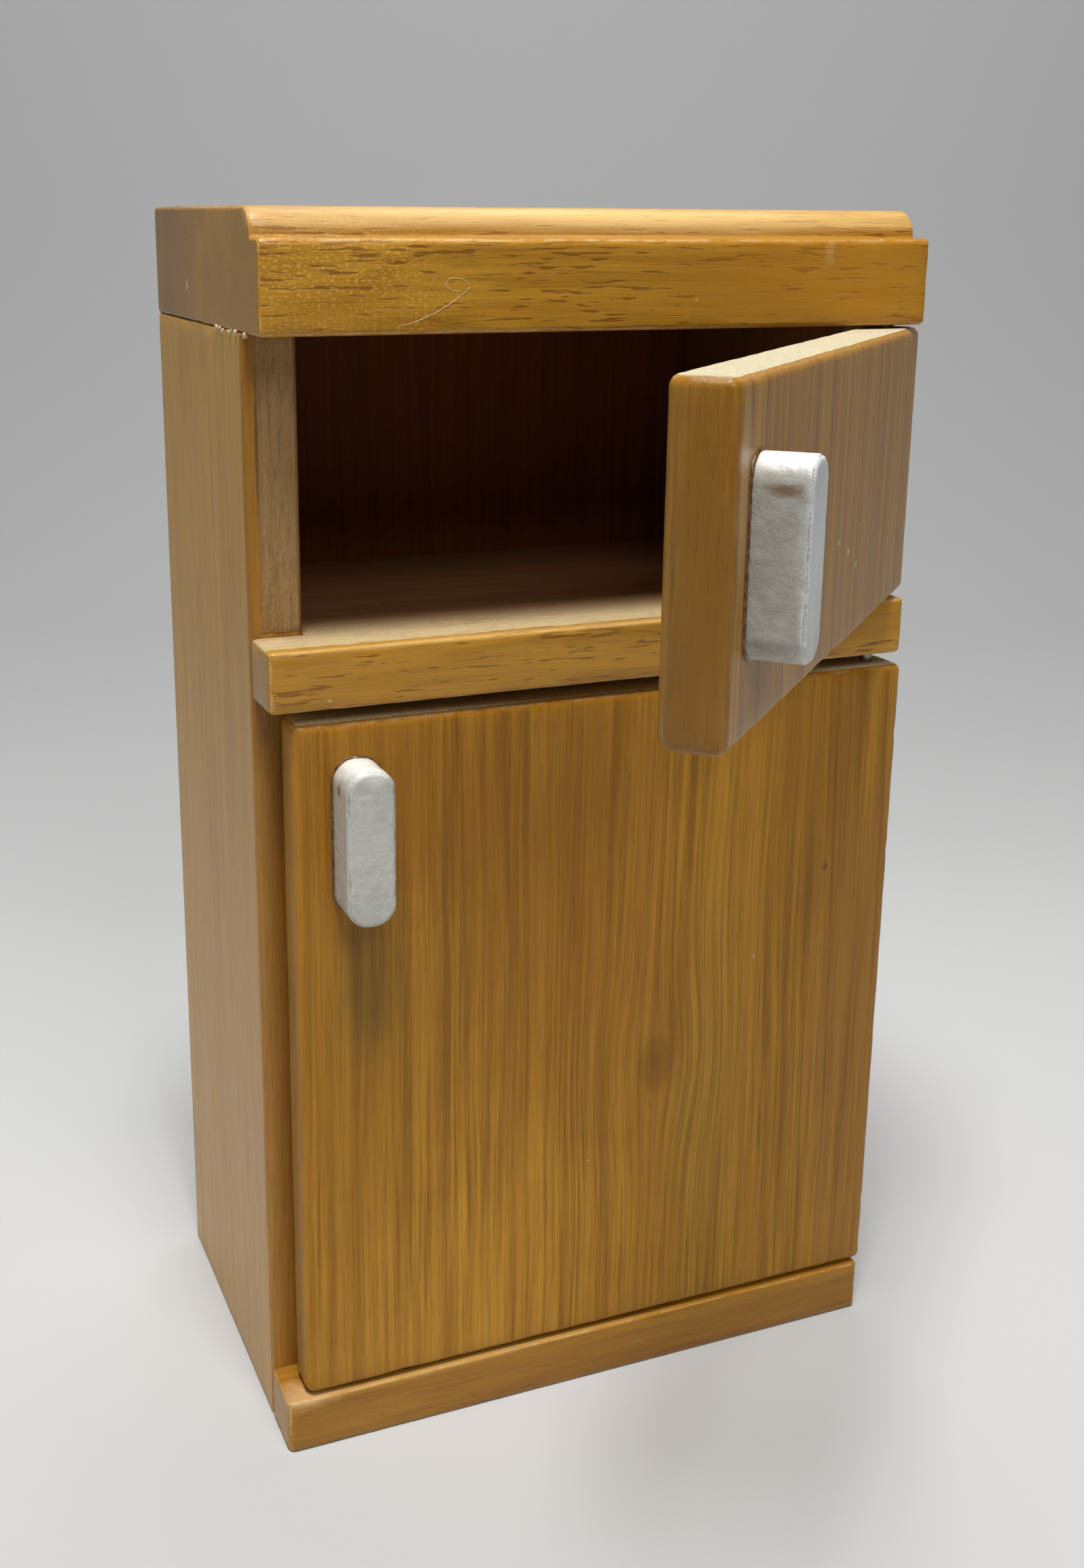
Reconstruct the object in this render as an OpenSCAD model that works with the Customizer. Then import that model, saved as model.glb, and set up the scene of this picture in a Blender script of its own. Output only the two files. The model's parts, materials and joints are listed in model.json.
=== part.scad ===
// Miniature wooden cupboard with two hinged doors, one above the other.
// Frame: +Z up, the front faces -Y, +X to the right seen from the front.
// Origin: the middle of the cabinet's footprint, on the surface it stands on.

/* [Cabinet] */
// Width of the cabinet across its boards
body_w = 80; // [74:0.5:90]
// Height of the cabinet
body_h = 145; // [138:0.5:160]
// Depth of the cabinet, front edges of the boards to the back
body_d = 50; // [44:0.5:60]
// How far the top board, shelf and base stand in front of the side panels
overhang = 7.6; // [7.6:0.1:8.4]

/* [Boards] */
// Thickness of the side panels
side_t = 6; // [5.5:0.1:6.4]
// Thickness of the top board
top_t = 12.9; // [12:0.1:14]
// Thickness of the divider shelf
shelf_t = 6.8; // [6.6:0.1:7.4]
// Thickness of the base board
base_t = 6.8; // [6.4:0.1:7.4]
// Thickness of the back panel
back_t = 3; // [2.5:0.1:3.5]
// Height of the divider shelf's top face
shelf_top_z = 99.3; // [90:0.1:105]
// Rounding of the boards' long front edges
board_r = 0.8; // [0.4:0.1:1]

/* [Top moulding] */
// Height of the set-back band along the top board's front
band_h = 3.1; // [2.4:0.1:3.8]
// How far that band is set back from the board's front
band_back = 3.2; // [2:0.1:4]
// Rounding of the band's top edge
band_r = 1.6; // [1:0.1:2]

/* [Doors] */
// Thickness of both doors
door_t = 6.6; // [6.2:0.1:6.6]
// How far the doors' front faces stay behind the boards' front edges
door_set_back = 0.4; // [0.3:0.05:0.6]
// Distance from the cabinet's left edge to the doors' free edges
free_edge_inset = 2.5; // [2:0.1:4]
// How far the doors' hinge edges stand out past the cabinet's right edge
hinge_edge_out = 0.7; // [0:0.1:0.8]
// Gap below the upper door and above it
upper_gap = 0.4; // [0.3:0.05:0.8]
// Gap below the lower door
lower_gap_bottom = 0.3; // [0.2:0.05:0.6]
// Gap above the lower door
lower_gap_top = 1.6; // [0.5:0.1:2]
// Rounding of the doors' front upright edges
door_front_r = 0.9; // [0.8:0.1:1.2]
// Rounding of the doors' back upright edges, which lets them swing clear
door_back_r = 2.6; // [2.4:0.1:3]
// Angle that the upper door stands open at rest
upper_open = 44; // [0:1:100]

/* [Handles] */
// Width of a handle
handle_w = 5.6; // [5:0.1:7]
// Height of a handle
handle_h = 18; // [14:0.5:22]
// How far a handle stands out from its door
handle_d = 5.4; // [4:0.1:7]
// Corner rounding of a handle's outline
handle_r = 2.5; // [1.5:0.1:2.5]
// Distance from a door's free edge to the middle of its handle
handle_inset = 7.2; // [6:0.1:10]
// Height of the lower handle's middle, below the top of the lower door
lower_handle_drop = 13.2; // [12:0.1:30]
// Height of the upper handle's middle, above the middle of the upper door
upper_handle_rise = 0.4; // [-2:0.1:2]

/* [Pins and dowels] */
// Diameter of the steel pivot pins
pin_d = 1.6; // [1.4:0.1:1.8]
// Depth of a pivot pin in its door
pin_in_door = 6; // [5:0.5:8]
// Depth of a pivot pin in its board
pin_in_board = 2.3; // [2:0.1:2.6]
// Radial clearance of a pivot pin in its board
pin_clear = 0.06; // [0.03:0.01:0.1]
// Diameter of the dowels in the top board
top_dowel_d = 3; // [2.5:0.1:3]
// Diameter of the dowels in the shelf and the base
side_dowel_d = 2.5; // [2:0.1:2.5]
// Diameter of the back panel's pins
nail_d = 1; // [0.8:0.1:1.2]

/* [Hidden] */

$fn = 64;
eps = 0.5;                                  // overlap of a cutting solid past a face
glue = 0.04;                                // glue line round a dowel or under a head
front_y = -body_d / 2;                      // front edges of the boards
back_y = body_d / 2;                        // back of the cabinet
side_front_y = front_y + overhang;          // front edges of the side panels
inner_w = body_w - 2 * side_t;
inner_back_y = back_y - back_t;             // front face of the back panel
top_z = body_h - top_t;                     // underside of the top board
shelf_z = shelf_top_z - shelf_t;            // underside of the shelf

// Doors
door_w = body_w - free_edge_inset + hinge_edge_out;
door_front_y = front_y + door_set_back;
pivot_x = body_w / 2 + hinge_edge_out - door_t / 2;
pivot_y = door_front_y + door_t / 2;
door_left_x = -body_w / 2 + free_edge_inset;
upper_z0 = shelf_top_z + upper_gap;
upper_z1 = top_z - upper_gap;
lower_z0 = base_t + lower_gap_bottom;
lower_z1 = shelf_z - lower_gap_top;
handle_x = door_left_x + handle_inset;
upper_handle_z = (upper_z0 + upper_z1) / 2 + upper_handle_rise;
lower_handle_z = lower_z1 - lower_handle_drop;

// Pivot bores in the boards, a little deeper than their pins
pin_end_room = 0.3;
pin_bore_r = pin_d / 2 + pin_clear;
pin_bore_depth = pin_in_board + pin_end_room;

// Dowels: half lengths, places along the depth, and room at the hole ends
top_dowel_half = 7;
top_dowel_y = [-8, 14];
side_dowel_in_panel = 3.5;
side_dowel_in_board = 7;
side_dowel_y = [-8, 14];
dowel_room = 0.4;
shelf_dowel_z = shelf_z + shelf_t / 2;
base_dowel_z = base_t / 2;

// Back panel pins
nail_x = [-24, 0, 24];
nail_z = [base_dowel_z, shelf_dowel_z];
nail_len = 10;
nail_head_d = 1.8;
nail_head_t = 0.5;

lacquer = [0.80, 0.52, 0.20];
end_grain = [0.62, 0.50, 0.36];
raw_wood = [0.86, 0.76, 0.58];
back_brown = [0.42, 0.30, 0.20];
door_honey = [0.74, 0.50, 0.22];
paint_white = [0.88, 0.88, 0.85];
steel = [0.62, 0.62, 0.64];

// ---- outlines ------------------------------------------------------------------------------

// Rectangle from [x0, y0] to [x1, y1] whose near corners are rounded by r_near and far by r_far
module rounded_strip(x0, y0, x1, y1, r_near, r_far) {
    translate([x0 + r_near, y0]) square([x1 - x0 - 2 * r_near, r_near + 0.01]);
    translate([x0, y0 + r_near]) square([x1 - x0, y1 - y0 - r_near - r_far]);
    translate([x0 + r_far, y1 - r_far - 0.01]) square([x1 - x0 - 2 * r_far, r_far + 0.01]);
    for (x = [x0 + r_near, x1 - r_near]) translate([x, y0 + r_near]) circle(r = r_near);
    for (x = [x0 + r_far, x1 - r_far]) translate([x, y1 - r_far]) circle(r = r_far);
}

// Plan of the shelf and the base: a full-width front strip, and a tongue between the side panels
module notched_plan() {
    rounded_strip(-body_w / 2, front_y, body_w / 2, side_front_y, board_r, 0.01);
    translate([-inner_w / 2, side_front_y - 0.01])
        square([inner_w, inner_back_y - side_front_y + 0.01]);
}

// Side view of the top board: a flat front, a ledge, then a set-back band with a round top edge
module top_profile() {
    band_y = front_y + band_back;
    ledge_z = body_h - band_h;
    translate([front_y + board_r, top_z]) square([body_d - board_r, ledge_z - top_z]);
    translate([front_y, top_z]) square([board_r + 0.01, ledge_z - top_z - board_r]);
    translate([front_y + board_r, ledge_z - board_r]) circle(r = board_r);
    translate([band_y, ledge_z - 0.01]) square([back_y - band_y, band_h - band_r + 0.01]);
    translate([band_y + band_r, body_h - band_r - 0.01])
        square([back_y - band_y - band_r, band_r + 0.01]);
    translate([band_y + band_r, body_h - band_r]) circle(r = band_r);
}

// ---- holes ---------------------------------------------------------------------------------

// Upright hole at the door pivot, from z0 up to z1
module pivot_hole(z0, z1, r) {
    translate([pivot_x, pivot_y, z0]) cylinder(h = z1 - z0, r = r);
}

// Holes for the dowels between the top board and the side panel on one side (-1 left, 1 right)
module top_dowel_holes(side) {
    h = 2 * (top_dowel_half + dowel_room);
    for (y = top_dowel_y)
        translate([side * (body_w - side_t) / 2, y, top_z - h / 2])
            cylinder(h = h, d = top_dowel_d + 2 * glue);
}

// Holes for the dowels between a side panel and a board at height z
module side_dowel_holes(side, z) {
    inner_x = inner_w / 2;
    h = side_dowel_in_panel + side_dowel_in_board + dowel_room;
    for (y = side_dowel_y)
        translate([side * (inner_x - side_dowel_in_board - dowel_room / 2), y, z])
            rotate([0, side * 90, 0]) cylinder(h = h, d = side_dowel_d + 2 * glue);
}

// Holes for the pins through the back panel, with a recess for each head
module nail_holes() {
    for (x = nail_x, z = nail_z)
        translate([x, back_y, z]) rotate([90, 0, 0]) {
            translate([0, 0, -eps]) cylinder(h = nail_head_t + glue + eps, d = nail_head_d + 2 * glue);
            cylinder(h = nail_len + dowel_room, d = nail_d + 2 * glue);
        }
}

// ---- boards --------------------------------------------------------------------------------

module top_board() {
    color(lacquer)
        difference() {
            translate([-body_w / 2, 0, 0]) rotate([90, 0, 90])
                linear_extrude(height = body_w) top_profile();
            top_dowel_holes(-1);
            top_dowel_holes(1);
            pivot_hole(top_z - eps, top_z + pin_bore_depth, pin_bore_r);
        }
}

module side_panel(side) {
    x0 = side < 0 ? -body_w / 2 : inner_w / 2;
    difference() {
        translate([x0, side_front_y, 0]) cube([side_t, back_y - side_front_y, top_z]);
        top_dowel_holes(side);
        side_dowel_holes(side, shelf_dowel_z);
        side_dowel_holes(side, base_dowel_z);
    }
}

module left_side_panel() {
    color(lacquer) side_panel(-1);
}

module right_side_panel() {
    color(lacquer) side_panel(1);
}

module divider_shelf() {
    color(lacquer)
        difference() {
            translate([0, 0, shelf_z]) linear_extrude(height = shelf_t) notched_plan();
            for (side = [-1, 1]) side_dowel_holes(side, shelf_dowel_z);
            pivot_hole(shelf_top_z - pin_bore_depth, shelf_top_z + eps, pin_bore_r);
            pivot_hole(shelf_z - eps, shelf_z + pin_bore_depth, pin_bore_r);
            nail_holes();
        }
}

module base_board() {
    color(lacquer)
        difference() {
            linear_extrude(height = base_t) notched_plan();
            for (side = [-1, 1]) side_dowel_holes(side, base_dowel_z);
            pivot_hole(base_t - pin_bore_depth, base_t + eps, pin_bore_r);
            nail_holes();
        }
}

module back_panel() {
    color(back_brown)
        difference() {
            translate([-inner_w / 2, inner_back_y, 0]) cube([inner_w, back_t, top_z]);
            nail_holes();
        }
}

// ---- doors ---------------------------------------------------------------------------------

// Turns what rides on the upper door from closed to its rest angle, about the pivot
module upper_at_rest() {
    translate([pivot_x, pivot_y, 0]) rotate([0, 0, upper_open])
        translate([-pivot_x, -pivot_y, 0]) children();
}

// A door as it hangs when closed, between heights z0 and z1, with a blind hole for each pin
module door_board(z0, z1) {
    difference() {
        translate([0, 0, z0]) linear_extrude(height = z1 - z0)
            rounded_strip(door_left_x, door_front_y, door_left_x + door_w, door_front_y + door_t,
                          door_front_r, door_back_r);
        pivot_hole(z0 - eps, z0 + pin_in_door, pin_d / 2);
        pivot_hole(z1 - pin_in_door, z1 + eps, pin_d / 2);
    }
}

// A handle's block with round ends, standing on the door's front face, centred at height z
module handle_block(z) {
    translate([handle_x, door_front_y, z]) rotate([90, 0, 0])
        linear_extrude(height = handle_d)
            rounded_strip(-handle_w / 2, -handle_h / 2, handle_w / 2, handle_h / 2,
                          handle_r, handle_r);
}

module upper_door() {
    color(door_honey) upper_at_rest() door_board(upper_z0, upper_z1);
}

module lower_door() {
    color(door_honey) door_board(lower_z0, lower_z1);
}

module upper_handle() {
    color(paint_white) upper_at_rest() handle_block(upper_handle_z);
}

module lower_handle() {
    color(paint_white) handle_block(lower_handle_z);
}

// ---- pins and dowels -----------------------------------------------------------------------

// Pivot pin from z0 up to z1; it is round about the pivot, so it needs no turning
module pivot_pin(z0, z1) {
    color(steel) pivot_hole(z0, z1, pin_d / 2);
}

module upper_door_top_pin() {
    pivot_pin(upper_z1 - pin_in_door, top_z + pin_in_board);
}

module upper_door_bottom_pin() {
    pivot_pin(shelf_top_z - pin_in_board, upper_z0 + pin_in_door);
}

module lower_door_top_pin() {
    pivot_pin(lower_z1 - pin_in_door, shelf_z + pin_in_board);
}

module lower_door_bottom_pin() {
    pivot_pin(base_t - pin_in_board, lower_z0 + pin_in_door);
}

module top_board_dowels() {
    color(raw_wood)
        for (side = [-1, 1], y = top_dowel_y)
            translate([side * (body_w - side_t) / 2, y, top_z - top_dowel_half])
                cylinder(h = 2 * top_dowel_half, d = top_dowel_d);
}

// The four dowels that tie a board at height z to both side panels
module side_dowels(z) {
    for (side = [-1, 1], y = side_dowel_y)
        translate([side * (inner_w / 2 - side_dowel_in_board), y, z])
            rotate([0, side * 90, 0])
                cylinder(h = side_dowel_in_panel + side_dowel_in_board - dowel_room / 2,
                         d = side_dowel_d);
}

module shelf_dowels() {
    color(raw_wood) side_dowels(shelf_dowel_z);
}

module base_dowels() {
    color(raw_wood) side_dowels(base_dowel_z);
}

module back_panel_pins() {
    color(steel)
        for (x = nail_x, z = nail_z)
            translate([x, back_y, z]) rotate([90, 0, 0]) {
                cylinder(h = nail_head_t, d = nail_head_d);
                cylinder(h = nail_len, d = nail_d);
            }
}

top_board();
left_side_panel();
right_side_panel();
divider_shelf();
base_board();
back_panel();
upper_door();
lower_door();
upper_handle();
lower_handle();
upper_door_top_pin();
upper_door_bottom_pin();
lower_door_top_pin();
lower_door_bottom_pin();
top_board_dowels();
shelf_dowels();
base_dowels();
back_panel_pins();
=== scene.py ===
"""A miniature two-door cupboard in honey-lacquered wood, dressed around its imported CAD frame.

Every board is a closed surface worked out with numpy: an outline with rounded corners is carried
along an axis, and its two ends turn in through a quarter-round, so that each arris catches light.
Sizes come from the frame; what the frame doesn't hold (roundings, wear, finishes) is named here.
The new boards and leaves are solid: pins and dowels run into them, and only the CAD has the bores.
"""

import json
import logging
import math
from dataclasses import dataclass, field
from enum import Enum
from typing import Callable, Optional, Sequence, Union

import bpy
import numpy as np
from mathutils import Matrix, Vector
from mathutils.geometry import delaunay_2d_cdt


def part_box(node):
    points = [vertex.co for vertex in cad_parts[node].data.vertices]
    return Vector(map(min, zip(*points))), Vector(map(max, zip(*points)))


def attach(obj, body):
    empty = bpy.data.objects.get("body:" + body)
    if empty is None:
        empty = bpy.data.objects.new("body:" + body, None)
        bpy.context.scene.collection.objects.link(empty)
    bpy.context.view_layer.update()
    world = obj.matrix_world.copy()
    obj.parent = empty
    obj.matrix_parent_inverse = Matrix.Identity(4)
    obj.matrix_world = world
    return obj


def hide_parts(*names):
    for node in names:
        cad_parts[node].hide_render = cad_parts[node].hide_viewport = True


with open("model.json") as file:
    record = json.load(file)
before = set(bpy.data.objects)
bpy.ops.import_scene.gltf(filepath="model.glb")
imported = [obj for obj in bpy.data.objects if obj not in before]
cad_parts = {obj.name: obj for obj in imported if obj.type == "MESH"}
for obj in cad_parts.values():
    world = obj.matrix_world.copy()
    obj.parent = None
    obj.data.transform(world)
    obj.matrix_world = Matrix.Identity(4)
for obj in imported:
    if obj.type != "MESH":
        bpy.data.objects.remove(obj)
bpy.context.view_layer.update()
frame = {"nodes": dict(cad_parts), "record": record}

logging.basicConfig(level=logging.INFO, format="%(message)s")
log = logging.getLogger("cupboard")

MM = 0.001
FULL_TURN = 2.0 * math.pi
TO_MM = (1000.0, 1000.0, 1000.0)
END_MARGIN = 0.15 * MM  # how far in the last ring of a flat end lies
TIGHT_RADIUS = 0.9 * MM  # bends rounder than this count as less tight

Colour = tuple[float, float, float]
Point = tuple[float, float, float]
Socket = bpy.types.NodeSocket
Feed = Union[float, Socket]


class Axis(Enum):
    """The way a board's grain runs."""

    ALONG_X = 0
    ALONG_Y = 1
    ALONG_Z = 2


class Body(Enum):
    """The moving bodies of the frame."""

    CABINET = "cabinet"
    UPPER = "upper_door_leaf"
    LOWER = "lower_door_leaf"


# ---- surfaces ------------------------------------------------------------------------------------


@dataclass(frozen=True)
class Corner:
    """One corner of an outline, in metres, and the radius that rounds it."""

    u: float
    v: float
    radius: float


@dataclass(frozen=True)
class Ring:
    """A closed outline: points, outward normals, and how strongly each point lies on a tight bend."""

    points: np.ndarray
    normals: np.ndarray
    bend: np.ndarray


@dataclass(frozen=True)
class Place:
    """A right-handed basis and an origin: what carries an outline's (u, v) and w into the frame."""

    u: np.ndarray
    v: np.ndarray
    w: np.ndarray
    origin: np.ndarray = field(default_factory=lambda: np.zeros(3))

    def turned(self, turn: Matrix) -> "Place":
        """The same place carried by a 4 x 4 matrix.

        Args:
            turn: The matrix, which only turns and shifts.

        Returns:
            The carried place.
        """
        spin = np.array(turn.to_3x3())
        moved = np.array(turn @ Vector(self.origin))
        return Place(spin @ self.u, spin @ self.v, spin @ self.w, moved)


X_AXIS, Y_AXIS, Z_AXIS = np.eye(3)
PLAN = Place(X_AXIS, Y_AXIS, Z_AXIS)
SIDE_VIEW = Place(Y_AXIS, Z_AXIS, X_AXIS)
FRONT_VIEW = Place(X_AXIS, Z_AXIS, -Y_AXIS)


def heading(start: np.ndarray, end: np.ndarray) -> np.ndarray:
    """The unit vector from one point to another."""
    way = end - start
    return way / np.hypot(*way)


def turn_between(before: np.ndarray, after: np.ndarray) -> float:
    """The angle by which a path turns to the left, in radians."""
    return math.atan2(before[0] * after[1] - before[1] * after[0], float(before @ after))


def rectangle(low: Sequence[float], high: Sequence[float], radii: Sequence[float]) -> list[Corner]:
    """The corners of a rectangle, counter-clockwise from the lowest.

    Args:
        low: The lowest corner's u and v.
        high: The highest corner's u and v.
        radii: The radius of each corner, in the same order.

    Returns:
        The four corners.
    """
    us, vs = (low[0], high[0], high[0], low[0]), (low[1], low[1], high[1], high[1])
    return [Corner(u, v, radius) for u, v, radius in zip(us, vs, radii)]


def outline(corners: Sequence[Corner], step: float, arc_steps: int = 8) -> Ring:
    """A closed outline through rounded corners, given counter-clockwise.

    At a corner where the path turns by the angle t, the arc of radius r starts r tan(t / 2) before
    the corner and ends as far after it. Normals follow the arc, so the outline can be moved inwards
    by any distance along them and stays round.

    Args:
        corners: The corners in order, each with its own radius.
        step: The longest distance between points on a straight stretch.
        arc_steps: How many steps each rounded corner takes.

    Returns:
        The sampled ring.
    """
    points, normals, bends = [], [], []
    knots = np.array([(c.u, c.v) for c in corners])
    count = len(corners)
    for i, corner in enumerate(corners):
        before = heading(knots[i - 1], knots[i])
        after = heading(knots[i], knots[(i + 1) % count])
        turn = turn_between(before, after)
        reach = corner.radius * abs(math.tan(turn / 2.0))
        first_normal = math.atan2(-before[0], before[1])
        angles = first_normal + turn * np.linspace(0.0, 1.0, arc_steps + 1)
        arc_normals = np.stack([np.cos(angles), np.sin(angles)], axis=1)
        side = math.copysign(1.0, turn)
        inward = np.array([-before[1], before[0]]) * side
        centre = knots[i] - before * reach + inward * corner.radius
        arc = centre + side * arc_normals * corner.radius
        tight = np.sin(math.pi * np.linspace(0.0, 1.0, arc_steps + 1))
        points.append(arc)
        normals.append(arc_normals)
        bends.append(tight * min(1.0, TIGHT_RADIUS / max(corner.radius, 1e-6)) * (turn > 0.0))
        following = corners[(i + 1) % count]
        next_turn = turn_between(after, heading(knots[(i + 1) % count], knots[(i + 2) % count]))
        next_reach = following.radius * abs(math.tan(next_turn / 2.0))
        run_end = knots[(i + 1) % count] - after * next_reach
        run = run_end - arc[-1]
        parts = max(1, math.ceil(np.hypot(*run) / step))
        shares = np.linspace(0.0, 1.0, parts + 1)[1:-1, None]
        points.append(arc[-1] + run * shares)
        normals.append(np.repeat(np.array([[after[1], -after[0]]]), len(shares), axis=0))
        bends.append(np.zeros(len(shares)))
    return Ring(np.concatenate(points), np.concatenate(normals), np.concatenate(bends))


def ripple(where: np.ndarray, wavelength: float, seed: float) -> np.ndarray:
    """Smooth pseudo-random numbers between about -1 and 1 at points in space.

    It is a sum of six sine waves of uneven direction and length, so it needs no random draws.

    Args:
        where: Points, in metres, in the last axis.
        wavelength: The typical distance between crests, in metres.
        seed: Shifts the waves, so that pieces differ.

    Returns:
        One number for each point.
    """
    k = np.arange(6)
    directions = np.stack([np.cos(2.4 * k + seed), np.sin(1.7 * k + 2.0 * seed), np.cos(3.1 * k)], axis=1)
    lengths = wavelength * (0.7 + 0.22 * k)
    phases = seed * (k + 1.0) * 1.37
    waves = np.sin(where @ directions.T * FULL_TURN / lengths + phases)
    return waves.sum(axis=-1) / 3.0


@dataclass(frozen=True)
class Wear:
    """How an arris is knocked about: its depth in metres, the length of the dents and a seed."""

    depth: float = 0.10 * MM
    length: float = 3.0 * MM
    seed: float = 1.0


@dataclass
class Surface:
    """A closed grid surface with what its material reads at every point."""

    points: np.ndarray
    normals: np.ndarray
    rim: np.ndarray
    extra: np.ndarray = field(default_factory=lambda: np.zeros((0, 3)))
    extra_normals: np.ndarray = field(default_factory=lambda: np.zeros((0, 3)))
    end_faces: list[list[int]] = field(default_factory=list)

    def flat(self) -> np.ndarray:
        """Every point as one list of rows."""
        return np.concatenate([self.points.reshape(-1, 3), self.extra])

    def facing(self) -> np.ndarray:
        """Every normal as one list of rows."""
        return np.concatenate([self.normals.reshape(-1, 3), self.extra_normals])

    def arris(self) -> np.ndarray:
        """The rim value of every point."""
        return np.concatenate([self.rim.ravel(), np.zeros(len(self.extra))])

    def with_full_ends(self, place: Place, pitch: float) -> "Surface":
        """The same surface with triangles over a lattice in its two flat ends.

        Args:
            place: What carried the outline.
            pitch: The distance between the points of the lattice.

        Returns:
            The surface with its extra points and its end faces.
        """
        axes = np.stack([place.u, place.v, place.w], axis=1)
        count, around = self.points.shape[:2]
        first = (self.points[0] - place.origin) @ axes
        last = (self.points[-1] - place.origin) @ axes
        inner, faces = filled(first[:, :2], pitch)
        start = count * around
        top_index = np.arange(around) + (count - 1) * around
        extra_index = np.arange(len(inner))
        low_map = np.concatenate([np.arange(around), start + extra_index])
        high_map = np.concatenate([top_index, start + len(inner) + extra_index])
        lows = np.column_stack([inner, np.full(len(inner), first[0, 2])])
        highs = np.column_stack([inner, np.full(len(inner), last[0, 2])])
        extra = np.concatenate([lows, highs]) @ axes.T + place.origin
        ends = low_map[faces[:, ::-1]].tolist() + high_map[faces].tolist()
        leans = np.repeat([[-1.0], [1.0]], len(inner), axis=0) * place.w
        return Surface(self.points, self.normals, self.rim, extra, leans, ends)


def carried(ring: Ring, place: Place, low: float, high: float, low_round: float, high_round: float,
            step: float, wear: Optional[Wear] = None, turns: int = 6) -> Surface:
    """Carries an outline from low to high along the place's w axis, with quarter-round ends.

    On an end's quarter-round, at the angle a from the flat end, the outline is moved in by
    r (1 - sin a) and stands r (1 - cos a) from the end. A last ring a little further in keeps the
    flat end's shading flat. Dents follow the ripple formula and only go inwards, where the surface
    bends tightly.

    Args:
        ring: The outline, in u and v.
        place: What carries u, v and w into the frame.
        low: Where the surface starts along w.
        high: Where it ends.
        low_round: The radius at the start.
        high_round: The radius at the end.
        step: The longest distance between rings along w.
        wear: The dents along the arrises, if any.
        turns: How many steps each quarter-round takes.

    Returns:
        The surface, as rings of points.
    """
    angle = np.linspace(0.0, math.pi / 2.0, turns + 1)
    body_rings = max(1, math.ceil((high - low - low_round - high_round) / step))
    straight = np.linspace(low + low_round, high - high_round, body_rings + 1)[1:-1]
    inset = np.concatenate([[low_round + END_MARGIN], low_round * (1 - np.sin(angle)),
                            np.zeros(len(straight)), high_round * (1 - np.sin(angle[::-1])),
                            [high_round + END_MARGIN]])
    height = np.concatenate([[low], low + low_round * (1 - np.cos(angle)), straight,
                             high - high_round * (1 - np.cos(angle[::-1])), [high]])
    lean = np.concatenate([[-1.0], -np.cos(angle), np.zeros(len(straight)), np.cos(angle[::-1]), [1.0]])
    flatness = np.sqrt(np.clip(1.0 - lean ** 2, 0.0, 1.0))
    plane = ring.points[None] - inset[:, None, None] * ring.normals[None]
    points = (plane[..., :1] * place.u + plane[..., 1:] * place.v
              + height[:, None, None] * place.w + place.origin)
    normals = (flatness[:, None, None] * (ring.normals[None, :, :1] * place.u
                                          + ring.normals[None, :, 1:] * place.v)
               + lean[:, None, None] * place.w)
    end_bend = np.abs(2.0 * lean * flatness)
    rim = np.maximum(end_bend[:, None], ring.bend[None] * flatness[:, None])
    if wear is not None:
        dent = np.clip(ripple(points, wear.length, wear.seed), 0.0, None)
        fine = np.clip(ripple(points, wear.length * 0.27, wear.seed + 4.0), 0.0, None)
        points = points - normals * (rim * wear.depth * (0.75 * dent + 0.5 * fine))[..., None]
    return Surface(points, normals, rim)


def inside(points: np.ndarray, border: np.ndarray) -> np.ndarray:
    """Which points lie inside a closed border, by counting the edges to the right of each.

    Args:
        points: The points, in the plane of the border.
        border: The border's points in order.

    Returns:
        True for each point that lies inside.
    """
    start, end = border[None], np.roll(border, -1, axis=0)[None]
    u, v = points[:, None, 0], points[:, None, 1]
    straddles = (start[..., 1] > v) != (end[..., 1] > v)
    rise = np.where(straddles, end[..., 1] - start[..., 1], 1.0)
    crossing = start[..., 0] + (v - start[..., 1]) / rise * (end[..., 0] - start[..., 0])
    return (straddles & (u < crossing)).sum(axis=1) % 2 == 1


def filled(border: np.ndarray, pitch: float) -> tuple[np.ndarray, np.ndarray]:
    """Fills a flat border with triangles over a lattice of inner points.

    Args:
        border: The border's points in its own plane, counter-clockwise.
        pitch: The distance between inner points.

    Returns:
        The inner points, and triangles that index the border's points and then the inner points.
    """
    low, high = border.min(axis=0), border.max(axis=0)
    u, v = np.meshgrid(np.arange(low[0] + pitch, high[0], pitch), np.arange(low[1] + pitch, high[1], pitch))
    lattice = np.stack([u.ravel(), v.ravel()], axis=1)
    gaps = np.abs(lattice[:, None] - border[None]).sum(axis=2).min(axis=1)
    inner = lattice[inside(lattice, border) & (gaps > 0.4 * pitch)]
    everything = np.concatenate([border, inner])
    order = np.arange(len(border))
    edges = np.stack([order, np.roll(order, -1)], axis=1).tolist()
    made = delaunay_2d_cdt(list(map(Vector, everything)), edges, [], 1, 1e-9)
    return inner, np.array(made[2])


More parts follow.
